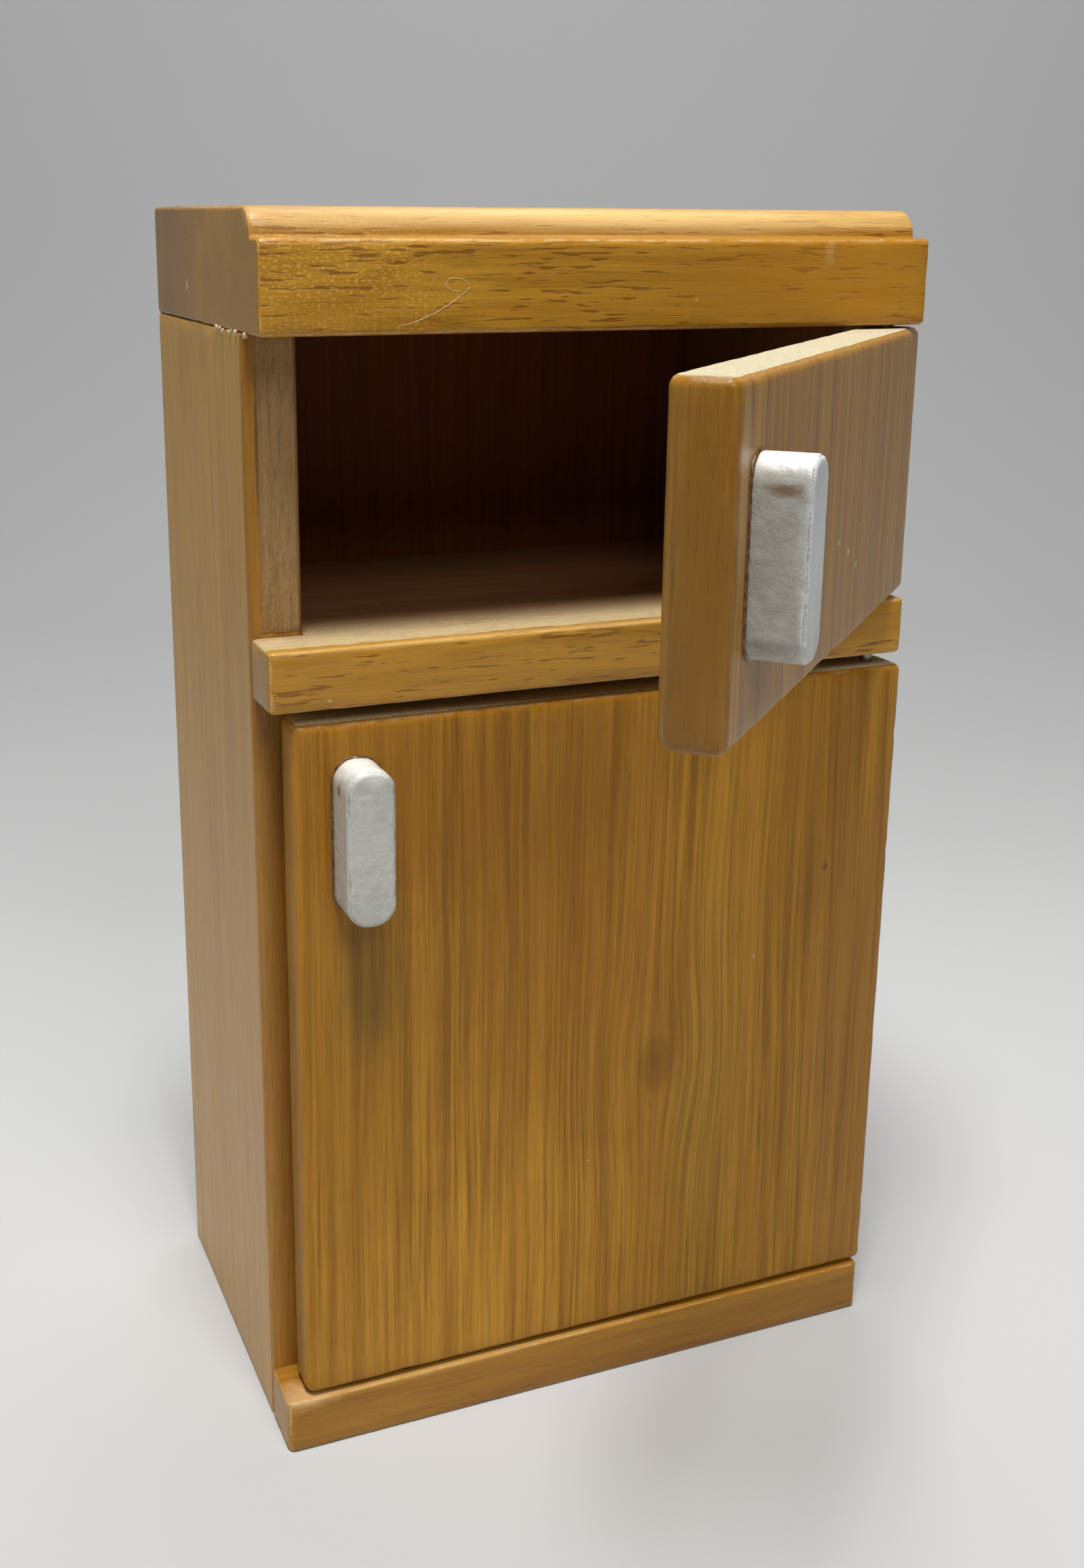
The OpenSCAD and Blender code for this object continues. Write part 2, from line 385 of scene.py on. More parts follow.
def mesh_piece(name: str, rings: Surface, shown: dict[str, np.ndarray]) -> bpy.types.Object:
    """Makes a closed object from rings of points, with its attributes.

    Args:
        name: The object's name.
        rings: The rings; their extra points, if any, fill the two ends.
        shown: Attributes by name: one number or one vector for each point.

    Returns:
        The new object, at the origin.
    """
    count, around = rings.points.shape[:2]
    index = np.arange(count * around).reshape(count, around)
    onward = np.roll(index, -1, axis=1)
    quads = np.stack([index[:-1], onward[:-1], onward[1:], index[1:]], axis=-1).reshape(-1, 4)
    ends = rings.end_faces or [index[0, ::-1].tolist(), index[-1].tolist()]
    mesh = bpy.data.meshes.new(name)
    mesh.from_pydata(rings.flat(), [], quads.tolist() + ends)
    for title, values in shown.items():
        kind, slot = ("FLOAT_VECTOR", "vector") if values.ndim == 2 else ("FLOAT", "value")
        layer = mesh.attributes.new(title, kind, "POINT")
        layer.data.foreach_set(slot, np.ascontiguousarray(values, dtype=np.float32).ravel())
    mesh.shade_smooth()
    mesh.update()
    piece = bpy.data.objects.new(name, mesh)
    bpy.context.scene.collection.objects.link(piece)
    return piece


# ---- shader graphs -------------------------------------------------------------------------------


class Graph:
    """Short names for building a node tree."""

    def __init__(self, tree: bpy.types.NodeTree) -> None:
        """Starts on an existing tree."""
        self.tree = tree

    def node(self, kind: str, **settings: object) -> bpy.types.Node:
        """Adds a node and sets its properties.

        Args:
            kind: The node's type.
            settings: Its properties by name.

        Returns:
            The node.
        """
        made = self.tree.nodes.new(kind)
        for key, value in settings.items():
            setattr(made, key, value)
        return made

    def feed(self, socket: Socket, value: object) -> None:
        """Links a socket, or sets its value.

        Args:
            socket: The input.
            value: Another socket, a value, or None to leave the input alone.
        """
        if isinstance(value, bpy.types.NodeSocket):
            self.tree.links.new(value, socket)
        elif value is not None:
            socket.default_value = value

    def math(self, operation: str, a: Feed, b: Feed = 0.0) -> Socket:
        """One Math node.

        Args:
            operation: The node's operation.
            a: The first number.
            b: The second number.

        Returns:
            The result.
        """
        made = self.node("ShaderNodeMath", operation=operation)
        self.feed(made.inputs[0], a)
        self.feed(made.inputs[1], b)
        return made.outputs[0]

    def mul(self, a: Feed, b: Feed) -> Socket:
        """The product of two numbers."""
        return self.math("MULTIPLY", a, b)

    def add(self, a: Feed, b: Feed) -> Socket:
        """The sum of two numbers."""
        return self.math("ADD", a, b)

    def sub(self, a: Feed, b: Feed) -> Socket:
        """The first number less the second."""
        return self.math("SUBTRACT", a, b)

    def times(self, vector: Socket, by: Point) -> Socket:
        """A vector stretched by three factors.

        Args:
            vector: The vector.
            by: The factor of each axis.

        Returns:
            The stretched vector.
        """
        made = self.node("ShaderNodeVectorMath", operation="MULTIPLY")
        self.feed(made.inputs[0], vector)
        made.inputs[1].default_value = by
        return made.outputs[0]

    def combine(self, x: Feed, y: Feed, z: Feed) -> Socket:
        """A vector from three numbers.

        Args:
            x: The first.
            y: The second.
            z: The third.

        Returns:
            The vector.
        """
        made = self.node("ShaderNodeCombineXYZ")
        for socket, number in zip(made.inputs, (x, y, z)):
            self.feed(socket, number)
        return made.outputs[0]

    def noise(self, vector: Socket, scale: float, detail: float = 2.0, rough: float = 0.5) -> Socket:
        """Smooth noise around 0.5.

        Args:
            vector: Where it is read.
            scale: How often it repeats.
            detail: How many finer layers it has.
            rough: How strong the finer layers are.

        Returns:
            The noise, from 0 to 1.
        """
        made = self.node("ShaderNodeTexNoise", noise_dimensions="3D")
        self.feed(made.inputs["Vector"], vector)
        made.inputs["Scale"].default_value = scale
        made.inputs["Detail"].default_value = detail
        made.inputs["Roughness"].default_value = rough
        return made.outputs["Fac"]

    def ramp(self, value: Feed, low: float, high: float, to_low: float = 0.0,
             to_high: float = 1.0) -> Socket:
        """A smooth step from to_low at low to to_high at high.

        Args:
            value: The number that is stepped.
            low: Where the step starts.
            high: Where it ends.
            to_low: The result up to the start.
            to_high: The result from the end on.

        Returns:
            The stepped number.
        """
        made = self.node("ShaderNodeMapRange", interpolation_type="SMOOTHSTEP")
        for socket, number in zip(made.inputs[:5], (value, low, high, to_low, to_high)):
            self.feed(socket, number)
        return made.outputs[0]

    def mix(self, share: Feed, a: object, b: object, blend: str = "MIX") -> Socket:
        """Mixes two colours.

        Args:
            share: How much of the second is taken.
            a: The first colour.
            b: The second colour.
            blend: How they are blended.

        Returns:
            The mixed colour.
        """
        made = self.node("ShaderNodeMix", data_type="RGBA", blend_type=blend)
        self.feed(made.inputs["Factor"], share)
        self.feed(made.inputs[6], (*a, 1.0) if isinstance(a, tuple) else a)
        self.feed(made.inputs[7], (*b, 1.0) if isinstance(b, tuple) else b)
        return made.outputs[2]

    def grey(self, value: Socket) -> Socket:
        """A number as a grey colour.

        Args:
            value: The number.

        Returns:
            The colour.
        """
        made = self.node("ShaderNodeCombineColor")
        for socket in made.inputs[:3]:
            self.feed(socket, value)
        return made.outputs[0]

    def attribute(self, name: str, vector: bool = False) -> Socket:
        """Reads a mesh attribute."""
        made = self.node("ShaderNodeAttribute", attribute_name=name)
        return made.outputs["Vector" if vector else "Fac"]


def new_group(name: str, takes: dict[str, str], gives: dict[str, str]) -> tuple[bpy.types.NodeTree, Graph]:
    """Starts a shader node group.

    Args:
        name: The group's name.
        takes: Input names and socket types.
        gives: Output names and socket types.

    Returns:
        The group's tree, and a graph to build in it.
    """
    tree = bpy.data.node_groups.new(name, "ShaderNodeTree")
    for title, kind in takes.items():
        tree.interface.new_socket(name=title, in_out="INPUT", socket_type=kind)
    for title, kind in gives.items():
        tree.interface.new_socket(name=title, in_out="OUTPUT", socket_type=kind)
    return tree, Graph(tree)


FLOAT, VECTOR = "NodeSocketFloat", "NodeSocketVector"


class Groups:
    """The shared effects, each built once."""

    def __init__(self) -> None:
        """Builds the groups."""
        self.figure = self._wood_figure()
        self.patch = self._patch()
        self.specks = self._specks()
        self.arris = self._arris()

    @staticmethod
    def _wood_figure() -> bpy.types.NodeTree:
        """The figure of a board, read in millimetres with x along the grain.

        Stripes are noise stretched along the grain and pushed sideways by a slow wander; round a
        knot they are pushed apart by a bell curve. Flecks are the cut vessels: short dashes.

        Returns:
            The group.
        """
        takes = {"Place": VECTOR, "Stripe width": FLOAT, "Wander": FLOAT, "Knot": VECTOR,
                 "Knot size": FLOAT, "Flecks": FLOAT, "Depth": FLOAT}
        gives = {"Stripe": FLOAT, "Streak": FLOAT, "Fibre": FLOAT, "Fleck": FLOAT, "Blotch": FLOAT,
                 "Knot core": FLOAT, "End pores": FLOAT, "Height": FLOAT}
        tree, g = new_group("wood_figure", takes, gives)
        inp = g.node("NodeGroupInput")
        out = g.node("NodeGroupOutput")
        place = inp.outputs["Place"]
        split = g.node("ShaderNodeSeparateXYZ")
        g.feed(split.inputs[0], place)
        along, across, through = split.outputs
        slow = g.sub(g.noise(g.times(place, (0.010, 0.05, 0.05)), 1.0, 2.0), 0.5)
        wander = g.mul(slow, inp.outputs["Wander"])
        knot = g.node("ShaderNodeSeparateXYZ")
        g.feed(knot.inputs[0], inp.outputs["Knot"])
        gap_along = g.mul(g.sub(along, knot.outputs[0]), 0.60)
        gap_across = g.sub(across, knot.outputs[1])
        squares = g.add(g.mul(gap_along, gap_along),
                         g.mul(gap_across, gap_across))
        size = g.math("MAXIMUM", inp.outputs["Knot size"], 0.01)
        reach = g.math("DIVIDE", squares, g.mul(size, size))
        bell = g.math("EXPONENT", g.mul(reach, -0.075))
        off_ring = g.sub(reach, 1.1)
        ring = g.math("EXPONENT", g.mul(g.mul(off_ring, off_ring), -3.0))
        centre = g.math("EXPONENT", g.mul(reach, -1.1))
        core = g.add(g.mul(centre, 0.75), g.mul(ring, 0.25))
        push = g.mul(g.mul(gap_across, bell), -0.50)
        pushed = g.add(g.add(across, wander), push)
        deep = g.add(g.mul(through, inp.outputs["Depth"]),
                      g.mul(wander, 0.6))
        width = inp.outputs["Stripe width"]
        broad = g.noise(g.combine(g.mul(along, 0.007), g.math("DIVIDE", pushed, width),
                                  g.math("DIVIDE", deep, g.mul(width, 3.0))), 1.0, 3.0, 0.6)
        lines = g.noise(g.combine(g.mul(along, 0.026), g.mul(pushed, 1.5),
                                  g.mul(deep, 0.6)), 1.0, 3.0, 0.6)
        stripe = g.add(g.mul(broad, 0.40), g.mul(lines, 0.60))
        thin = g.noise(g.combine(g.mul(along, 0.045), g.mul(pushed, 3.0),
                                 g.mul(deep, 1.2)), 1.0, 1.0, 0.5)
        streak = g.ramp(thin, 0.60, 0.72)
        fibre = g.noise(g.combine(g.mul(along, 0.09), g.mul(pushed, 4.8),
                                  g.mul(deep, 4.8)), 1.0, 3.0, 0.6)
        dash = g.noise(g.times(place, (0.27, 3.1, 3.1)), 1.0, 1.5, 0.5)
        gathered = g.noise(g.times(place, (0.05, 0.16, 0.16)), 1.0, 1.0)
        bar = g.sub(inp.outputs["Flecks"], g.mul(gathered, 0.20))
        fleck = g.ramp(g.sub(dash, bar), -0.015, 0.05)
        blotch = g.noise(g.times(place, (0.02, 0.07, 0.07)), 1.0, 2.0)
        dots = g.ramp(g.noise(g.times(place, (0.3, 3.2, 3.2)), 1.0, 1.0), 0.60, 0.70)
        height = g.sub(g.mul(fibre, 0.45), g.mul(fleck, 0.6))
        for title, value in (("Stripe", stripe), ("Streak", streak), ("Fibre", fibre), ("Fleck", fleck),
                             ("Blotch", blotch), ("Knot core", core), ("End pores", dots),
                             ("Height", height)):
            g.feed(out.inputs[title], value)
        return tree

    @staticmethod
    def _patch() -> bpy.types.NodeTree:
        """A soft oval patch: a bell round a centre, with a ragged edge.

        Returns:
            The group.
        """
        tree, g = new_group("patch", {"Place": VECTOR, "Centre": VECTOR, "Reach": VECTOR}, {"Mask": FLOAT})
        inp = g.node("NodeGroupInput")
        out = g.node("NodeGroupOutput")
        away = g.node("ShaderNodeVectorMath", operation="SUBTRACT")
        g.feed(away.inputs[0], inp.outputs["Place"])
        g.feed(away.inputs[1], inp.outputs["Centre"])
        share = g.node("ShaderNodeVectorMath", operation="DIVIDE")
        g.feed(share.inputs[0], away.outputs[0])
        g.feed(share.inputs[1], inp.outputs["Reach"])
        far = g.node("ShaderNodeVectorMath", operation="LENGTH")
        g.feed(far.inputs[0], share.outputs[0])
        rough = g.sub(g.noise(share.outputs[0], 2.2, 3.0, 0.6), 0.5)
        edge = g.add(far.outputs["Value"], g.mul(rough, 0.9))
        g.feed(out.inputs["Mask"], g.ramp(edge, 0.25, 1.25, 1.0, 0.0))
        return tree

    @staticmethod
    def _specks() -> bpy.types.NodeTree:
        """Sparse dust and nibs: the middles of scattered cells, each kept by a chance.

        Returns:
            The group.
        """
        takes = {"Place": VECTOR, "Cells": FLOAT, "Share": FLOAT}
        tree, g = new_group("specks", takes, {"Speck": FLOAT})
        inp = g.node("NodeGroupInput")
        out = g.node("NodeGroupOutput")
        cells = g.node("ShaderNodeTexVoronoi", feature="F1")
        g.feed(cells.inputs["Vector"], inp.outputs["Place"])
        g.feed(cells.inputs["Scale"], inp.outputs["Cells"])
        dot = g.ramp(cells.outputs["Distance"], 0.05, 0.11, 1.0, 0.0)
        chance = g.node("ShaderNodeSeparateColor")
        g.feed(chance.inputs[0], cells.outputs["Color"])
        kept = g.math("LESS_THAN", chance.outputs[0], inp.outputs["Share"])
        g.feed(out.inputs["Speck"], g.mul(dot, kept))
        return tree

    @staticmethod
    def _arris() -> bpy.types.NodeTree:
        """Where an arris is rubbed: its rim value, broken up by two sizes of noise.

        Returns:
            The group.
        """
        tree, g = new_group("arris", {"Place": VECTOR, "Rim": FLOAT, "Amount": FLOAT}, {"Rubbed": FLOAT})
        inp = g.node("NodeGroupInput")
        out = g.node("NodeGroupOutput")
        coarse = g.noise(inp.outputs["Place"], 0.5, 3.0)
        small = g.noise(inp.outputs["Place"], 2.6, 2.0)
        broken = g.add(g.mul(coarse, 0.65), g.mul(small, 0.35))
        bar = g.sub(1.0, inp.outputs["Amount"])
        worn = g.sub(g.mul(inp.outputs["Rim"], g.add(broken, 0.5)), bar)
        g.feed(out.inputs["Rubbed"], g.ramp(worn, 0.0, 0.14))
        return tree


class Material:
    """A material with its graph, its Principled shader and the shared groups at hand."""

    def __init__(self, name: str, groups: Groups) -> None:
        """Makes an empty material with one Principled shader.

        Args:
            name: The material's name.
            groups: The shared effects.
        """
        self.data = bpy.data.materials.new(name)
        self.data.use_nodes = True
        self.data.node_tree.nodes.clear()
        self.groups = groups
        self.graph = Graph(self.data.node_tree)
        self.shader = self.graph.node("ShaderNodeBsdfPrincipled")
        output = self.graph.node("ShaderNodeOutputMaterial")
        self.graph.feed(output.inputs["Surface"], self.shader.outputs[0])

    def group(self, tree: bpy.types.NodeTree, **values: object) -> bpy.types.Node:
        """Places a shared group and feeds its inputs.

        Args:
            tree: The group.
            values: What feeds its inputs, by name, with an underscore for a space.

        Returns:
            The placed node.
        """
        made = self.graph.node("ShaderNodeGroup", node_tree=tree)
        for key, value in values.items():
            self.graph.feed(made.inputs[key.replace("_", " ")], value)
        return made

    def board_place(self) -> Socket:
        """The place on the board, along its own axes, in millimetres."""
        return self.graph.times(self.graph.attribute("board", vector=True), TO_MM)

    def object_place(self) -> Socket:
        """The place on the object, in millimetres."""
        return self.graph.times(self.graph.node("ShaderNodeTexCoord").outputs["Object"], TO_MM)

    def bump(self, height: Socket, distance: float) -> None:
        """Feeds the shader's normal from a height.

        Args:
            height: The height, in units of the distance.
            distance: The distance, in metres.
        """
        made = self.graph.node("ShaderNodeBump")
        made.inputs["Strength"].default_value = 1.0
        made.inputs["Distance"].default_value = distance
        self.graph.feed(made.inputs["Height"], height)
        self.graph.feed(self.shader.inputs["Normal"], made.outputs[0])

    def surface(self, colour: object, roughness: Feed) -> None:
        """Feeds the base colour and the roughness.

        Args:
            colour: A socket or a plain colour.
            roughness: A socket or a number.
        """
        colour = (*colour, 1.0) if isinstance(colour, tuple) else colour
        self.graph.feed(self.shader.inputs["Base Color"], colour)
        self.graph.feed(self.shader.inputs["Roughness"], roughness)


# ---- finishes ------------------------------------------------------------------------------------


def scaled(colour: Colour, by: float) -> Colour:
    """A colour made brighter or darker."""
    return tuple(c * by for c in colour)


@dataclass(frozen=True)
class Patch:
    """A local mark on a board: its centre and reach in the board's millimetres, tone and strength."""

    centre: Point
    reach: Point
    tone: Colour
    share: float = 0.5

    def over(self, m: Material, place: Socket, colour: Socket) -> Socket:
        """Mixes the patch's tone over a colour."""
        mask = m.group(m.groups.patch, Place=place, Centre=self.centre, Reach=self.reach).outputs[0]
        return m.graph.mix(m.graph.mul(mask, self.share), colour, self.tone)


@dataclass(frozen=True)
class WoodFinish:
    """A board: its lacquered long grain, its end grain, and the bare wood where no lacquer lies.

    The mesh gives "board" (place in metres, x along the grain), "rim" (1 on an arris), "end" (1 on
    end grain), "coat" (1 lacquered, 0 bare) and "dark" (1 where painted shade darkens it, as deep inside).
    """

    name: str
    light: Colour = (0.52, 0.262, 0.022)
    dark: Colour = (0.34, 0.145, 0.008)
    fleck: Colour = (0.19, 0.062, 0.004)
    end: Colour = (0.52, 0.26, 0.026)
    bare: Colour = (0.70, 0.52, 0.27)
    rim: Colour = (0.50, 0.215, 0.014)
    # the deep brown of the painted shade inside the cupboard
    inner: Colour = (0.190, 0.052, 0.003)
    stripe_width: float = 2.2
    stripe_low: float = 0.36
    stripe_high: float = 0.66
    flecks: float = 0.72
    fleck_share: float = 0.72
    streaks: float = 0.25
    wander: float = 5.0
    knot: Point = (0.0, 0.0, 0.0)
    knot_size: float = 0.0
    depth: float = 1.0
    tints: tuple[Patch, ...] = ()
    patches: tuple[Patch, ...] = ()
    painted_glints: Optional[Patch] = None
    rub: float = 0.40
    dust: float = 0.04
    roughness: float = 0.42
    specular: float = 0.28
    coat: float = 0.10
    bump_mm: float = 0.05

    def build(self, groups: Groups) -> bpy.types.Material:
        """Makes the material.

        Args:
            groups: The shared effects.

        Returns:
            The material.
        """
        m = Material(self.name, groups)
        g = m.graph
        place = m.board_place()
        rim, end, coat = g.attribute("rim"), g.attribute("end"), g.attribute("coat")
        figure = m.group(groups.figure, Place=place, Stripe_width=self.stripe_width, Wander=self.wander,
                         Knot=self.knot, Knot_size=self.knot_size, Flecks=self.flecks,
                         Depth=self.depth).outputs
        lacquered = g.mix(end, self.long_grain(m, place, figure), self.end_grain(m, figure))
        bare = g.mix(g.ramp(figure["Fibre"], 0.25, 0.75), self.bare, scaled(self.bare, 0.76))
        mottled = g.ramp(g.noise(g.times(place, (0.9, 1.6, 1.6)), 1.0, 5.0, 0.7), 0.42, 0.66, 0.0, 0.5)
        bare = g.mix(mottled, bare, scaled(self.bare, 0.66))
        bare = g.mix(g.mul(figure["Fleck"], 0.4), bare, scaled(self.bare, 0.42))
        ragged = g.sub(g.noise(g.times(place, (0.5, 1.4, 1.4)), 1.0, 3.0), 0.5)
        covered = g.ramp(g.add(coat, g.mul(ragged, 0.5)), 0.42, 0.58)
        colour = g.mix(covered, bare, lacquered)
        colour = g.mix(g.mul(g.mul(rim, covered), 0.45), colour, self.rim)
        rubbed = m.group(groups.arris, Place=place, Rim=rim, Amount=0.13).outputs[0]
        colour = g.mix(g.mul(rubbed, self.rub), colour, self.bare)
        # Painted shade: where "dark" is set the colour goes to a deep brown, for the shade inside and beside
        # the door.
        deep = g.mix(g.ramp(figure["Stripe"], 0.35, 0.65), self.inner, scaled(self.inner, 0.6))
        colour = g.mix(g.mul(g.attribute("dark"), 0.93), colour, deep)
        for patch in self.patches:
            colour = patch.over(m, place, colour)
        dust = m.group(groups.specks, Place=place, Cells=0.42, Share=self.dust).outputs[0]
        colour = g.mix(g.mul(dust, 0.4), colour, (0.85, 0.80, 0.70))
        gloss = g.ramp(figure["Fibre"], 0.3, 0.7, self.roughness - 0.05, self.roughness + 0.07)
        roughness = g.add(g.mul(g.sub(1.0, covered), 0.34), gloss)
        m.surface(colour, roughness)
        m.shader.inputs["Specular IOR Level"].default_value = self.specular
        g.feed(m.shader.inputs["Coat Weight"], g.mul(covered, self.coat))
        m.shader.inputs["Coat Roughness"].default_value = 0.16
        orange_peel = g.mul(g.noise(place, 1.3, 2.0), 0.5)
        bare_relief = g.mul(g.noise(g.times(place, (2.2, 4.0, 4.0)), 1.0, 4.0, 0.7),
                             g.mul(g.sub(1.0, covered), 3.2))
        relief = g.add(g.add(figure["Height"], orange_peel),
                        g.add(bare_relief, g.mul(dust, 0.6)))
        m.bump(relief, self.bump_mm * MM)
        return m.data

    def long_grain(self, m: Material, place: Socket, figure: dict[str, Socket]) -> Socket:
        """The lacquered long grain: tinted clouds, then stripes, fibre, painted glints, a knot and vessel
        flecks.

        Args:
            m: The material.
            place: The board's own millimetres.
            figure: The outputs of the wood figure.

        Returns:
            The colour.
        """
        g = m.graph
        ground = g.mix(0.0, self.light, self.light)
        for tint in self.tints:
            ground = tint.over(m, place, ground)
        depth = tuple(d / c for d, c in zip(self.dark, self.light))
        striped = g.ramp(figure["Stripe"], self.stripe_low, self.stripe_high)
        colour = g.mix(striped, ground, g.mix(1.0, ground, depth, "MULTIPLY"))
        fibre = g.ramp(figure["Fibre"], 0.30, 0.72, 0.88, 1.10)
        colour = g.mix(1.0, colour, g.grey(fibre), "MULTIPLY")
        streaked = scaled(self.dark, 0.62)
        colour = g.mix(g.mul(figure["Streak"], self.streaks), colour, streaked)
        cloud = g.ramp(figure["Blotch"], 0.34, 0.66)
        warmer = g.mix(1.0, ground, (0.80, 0.74, 0.70), "MULTIPLY")
        colour = g.mix(g.mul(cloud, 0.4), colour, warmer)
        # Painted glints: a golden sparkle on the grain, a painted highlight of the lacquer's shimmer.
        if self.painted_glints is not None:
            grains = g.ramp(g.noise(g.times(place, (2.0, 4.0, 4.0)), 1.0, 2.0), 0.50, 0.66)
            mask = m.group(m.groups.patch, Place=place, Centre=self.painted_glints.centre,
                           Reach=self.painted_glints.reach).outputs[0]
            shine = g.mul(g.mul(grains, mask), self.painted_glints.share)
            colour = g.mix(shine, colour, self.painted_glints.tone)
        if self.knot_size > 0.0:
            knotty = scaled(self.dark, 0.62)
            colour = g.mix(g.mul(figure["Knot core"], 0.80), colour, knotty)
        return g.mix(g.mul(figure["Fleck"], self.fleck_share), colour, self.fleck)

    def end_grain(self, m: Material, figure: dict[str, Socket]) -> Socket:
        """The colour of the end grain: a dull tone with dark pores.

        Args:
            m: The material.
            figure: The outputs of the wood figure.

        Returns:
            The colour.
        """
        g = m.graph
        tone = g.mix(g.ramp(figure["Blotch"], 0.40, 0.60), self.end, scaled(self.end, 0.80))
        return g.mix(g.mul(figure["End pores"], 0.35), tone, scaled(self.end, 0.45))


@dataclass(frozen=True)
class PaintFinish:
    """White paint over a wooden block: thick on the flats, chipped and grubby at the edges."""

    name: str = "white_paint"
    paint: Colour = (0.54, 0.54, 0.49)
    shade: Colour = (0.43, 0.42, 0.37)
    wood: Colour = (0.28, 0.15, 0.06)
    patches: tuple[Patch, ...] = ()

    def build(self, groups: Groups) -> bpy.types.Material:
        """Makes the material.

        Args:
            groups: The shared effects.

        Returns:
            The material.
        """
        m = Material(self.name, groups)
        g = m.graph
        place = m.board_place()
        rim = g.attribute("rim")
        cloud = g.ramp(g.noise(place, 0.42, 4.0, 0.6), 0.36, 0.66)
        colour = g.mix(cloud, self.paint, self.shade)
        grubby = g.ramp(g.noise(place, 1.6, 3.0, 0.6), 0.60, 0.80)
        colour = g.mix(g.mul(grubby, 0.34), colour, (0.36, 0.30, 0.22))
        chipped = m.group(groups.arris, Place=place, Rim=rim, Amount=0.07).outputs[0]
        pits = m.group(groups.specks, Place=place, Cells=1.1, Share=0.12).outputs[0]
        bare = g.math("MAXIMUM", chipped, pits)
        colour = g.mix(g.mul(bare, 0.7), colour, self.wood)
        # Patches: marks on the paint, and painted light and shade on single faces of the handles.
        for patch in self.patches:
            colour = patch.over(m, place, colour)
        m.surface(colour, g.ramp(cloud, 0.0, 1.0, 0.34, 0.46))
        m.shader.inputs["Coat Weight"].default_value = 0.2
        m.shader.inputs["Coat Roughness"].default_value = 0.22
        lumps = g.mul(g.noise(place, 0.9, 3.0), 1.4)
        relief = g.sub(g.add(lumps, g.mul(g.noise(place, 4.0, 3.0), 0.4)),
                        g.mul(bare, 0.9))
        m.bump(relief, 0.09 * MM)
        return m.data


@dataclass(frozen=True)
class WireFinish:
    """Drawn steel wire with a thin brown bloom."""

    name: str = "steel_wire"
    steel: Colour = (0.42, 0.38, 0.34)
    bloom: Colour = (0.16, 0.075, 0.035)

    def build(self, groups: Groups) -> bpy.types.Material:
        """Makes the material.

        Args:
            groups: The shared effects.

        Returns:
            The material.
        """
        m = Material(self.name, groups)
        g = m.graph
        place = m.object_place()
        drawn = g.noise(g.times(place, (6.0, 6.0, 0.5)), 1.0, 3.0)
        rusted = g.ramp(g.noise(place, 0.9, 4.0), 0.46, 0.62)
        m.surface(g.mix(rusted, self.steel, self.bloom), g.ramp(rusted, 0.0, 1.0, 0.30, 0.65))
        g.feed(m.shader.inputs["Metallic"], g.ramp(rusted, 0.0, 1.0, 1.0, 0.3))
        m.bump(drawn, 0.02 * MM)
        return m.data


@dataclass(frozen=True)
class DowelFinish:
    """Bare turned hardwood of a dowel, with fine lengthways grain."""

    name: str = "dowel_wood"
    light: Colour = (0.70, 0.54, 0.33)
    dark: Colour = (0.50, 0.34, 0.17)

    def build(self, groups: Groups) -> bpy.types.Material:
        """Makes the material.

        Args:
            groups: The shared effects.

        Returns:
            The material.
        """
        m = Material(self.name, groups)
        g = m.graph
        place = m.object_place()
        figure = m.group(groups.figure, Place=place, Stripe_width=0.8, Wander=1.0, Depth=1.0).outputs
        colour = g.mix(g.ramp(figure["Stripe"], 0.35, 0.65), self.light, self.dark)
        m.surface(colour, g.ramp(figure["Fibre"], 0.3, 0.7, 0.6, 0.75))
        m.bump(figure["Height"], 0.04 * MM)
        return m.data


@dataclass(frozen=True)
class GlueFinish:
    """Dried glue: a cloudy or brown bead with a soft shine."""

    name: str
    pale: Colour
    deep: Colour
    roughness: float = 0.32

    def build(self, groups: Groups) -> bpy.types.Material:
        """Makes the material.

        Args:
            groups: The shared effects.

        Returns:
            The material.
        """
        m = Material(self.name, groups)
        g = m.graph
        place = m.object_place()
        cloud = g.ramp(g.noise(place, 1.8, 3.0), 0.35, 0.65)
        m.surface(g.mix(cloud, self.pale, self.deep), self.roughness)
        m.bump(g.noise(place, 3.0, 3.0), 0.05 * MM)
        return m.data


BROWN: Colour = (0.16, 0.075, 0.020)
WHITE: Colour = (0.80, 0.78, 0.72)

# Painted glints: a painted highlight of shimmering grain on the left of the top board's front.
TOP_PAINTED_GLINTS = Patch((-33.0, -25.0, 138.0), (17.0, 8.0, 9.0), (0.90, 0.56, 0.11), 0.46)
TOP_MARKS_AND_PAINTED_LIGHT = (
    Patch((26.5, -25.0, 140.3), (0.8, 2.0, 1.7), (0.80, 0.56, 0.26), 0.40),
    Patch((-40.0, 16.0, 138.0), (3.0, 13.5, 30.0), (0.20, 0.095, 0.030), 0.55),
    Patch((-40.0, 7.7, 136.1), (2.0, 0.35, 0.7), WHITE, 0.9),
    Patch((-31.0, -25.0, 134.5), (9.0, 3.0, 2.4), (0.34, 0.15, 0.008), 0.40),
    # Painted highlight: a pale band over the moulding's rounded riser and its top arris.
    Patch((0.0, -21.5, 144.6), (60.0, 3.0, 2.4), (0.92, 0.64, 0.27), 0.65),
    Patch((400.0, 35.3, 219.4), (60.0, 1.2, 0.7), (0.82, 0.55, 0.20), 0.40),
    # Darker towards the right of the front: partly the wood's blotchy tone, partly painted shade.
    Patch((27.0, -25.0, 137.0), (24.0, 3.0, 9.0), (0.40, 0.170, 0.010), 0.55),
)
BASE_MARKS = (
    Patch((562.6, 66.0, 187.2), (4.4, 3.4, 1.8), (0.76, 0.50, 0.25), 0.55),
    Patch((580.0, 65.4, 187.0), (30.0, 1.2, 0.9), (0.60, 0.38, 0.14), 0.40),
)
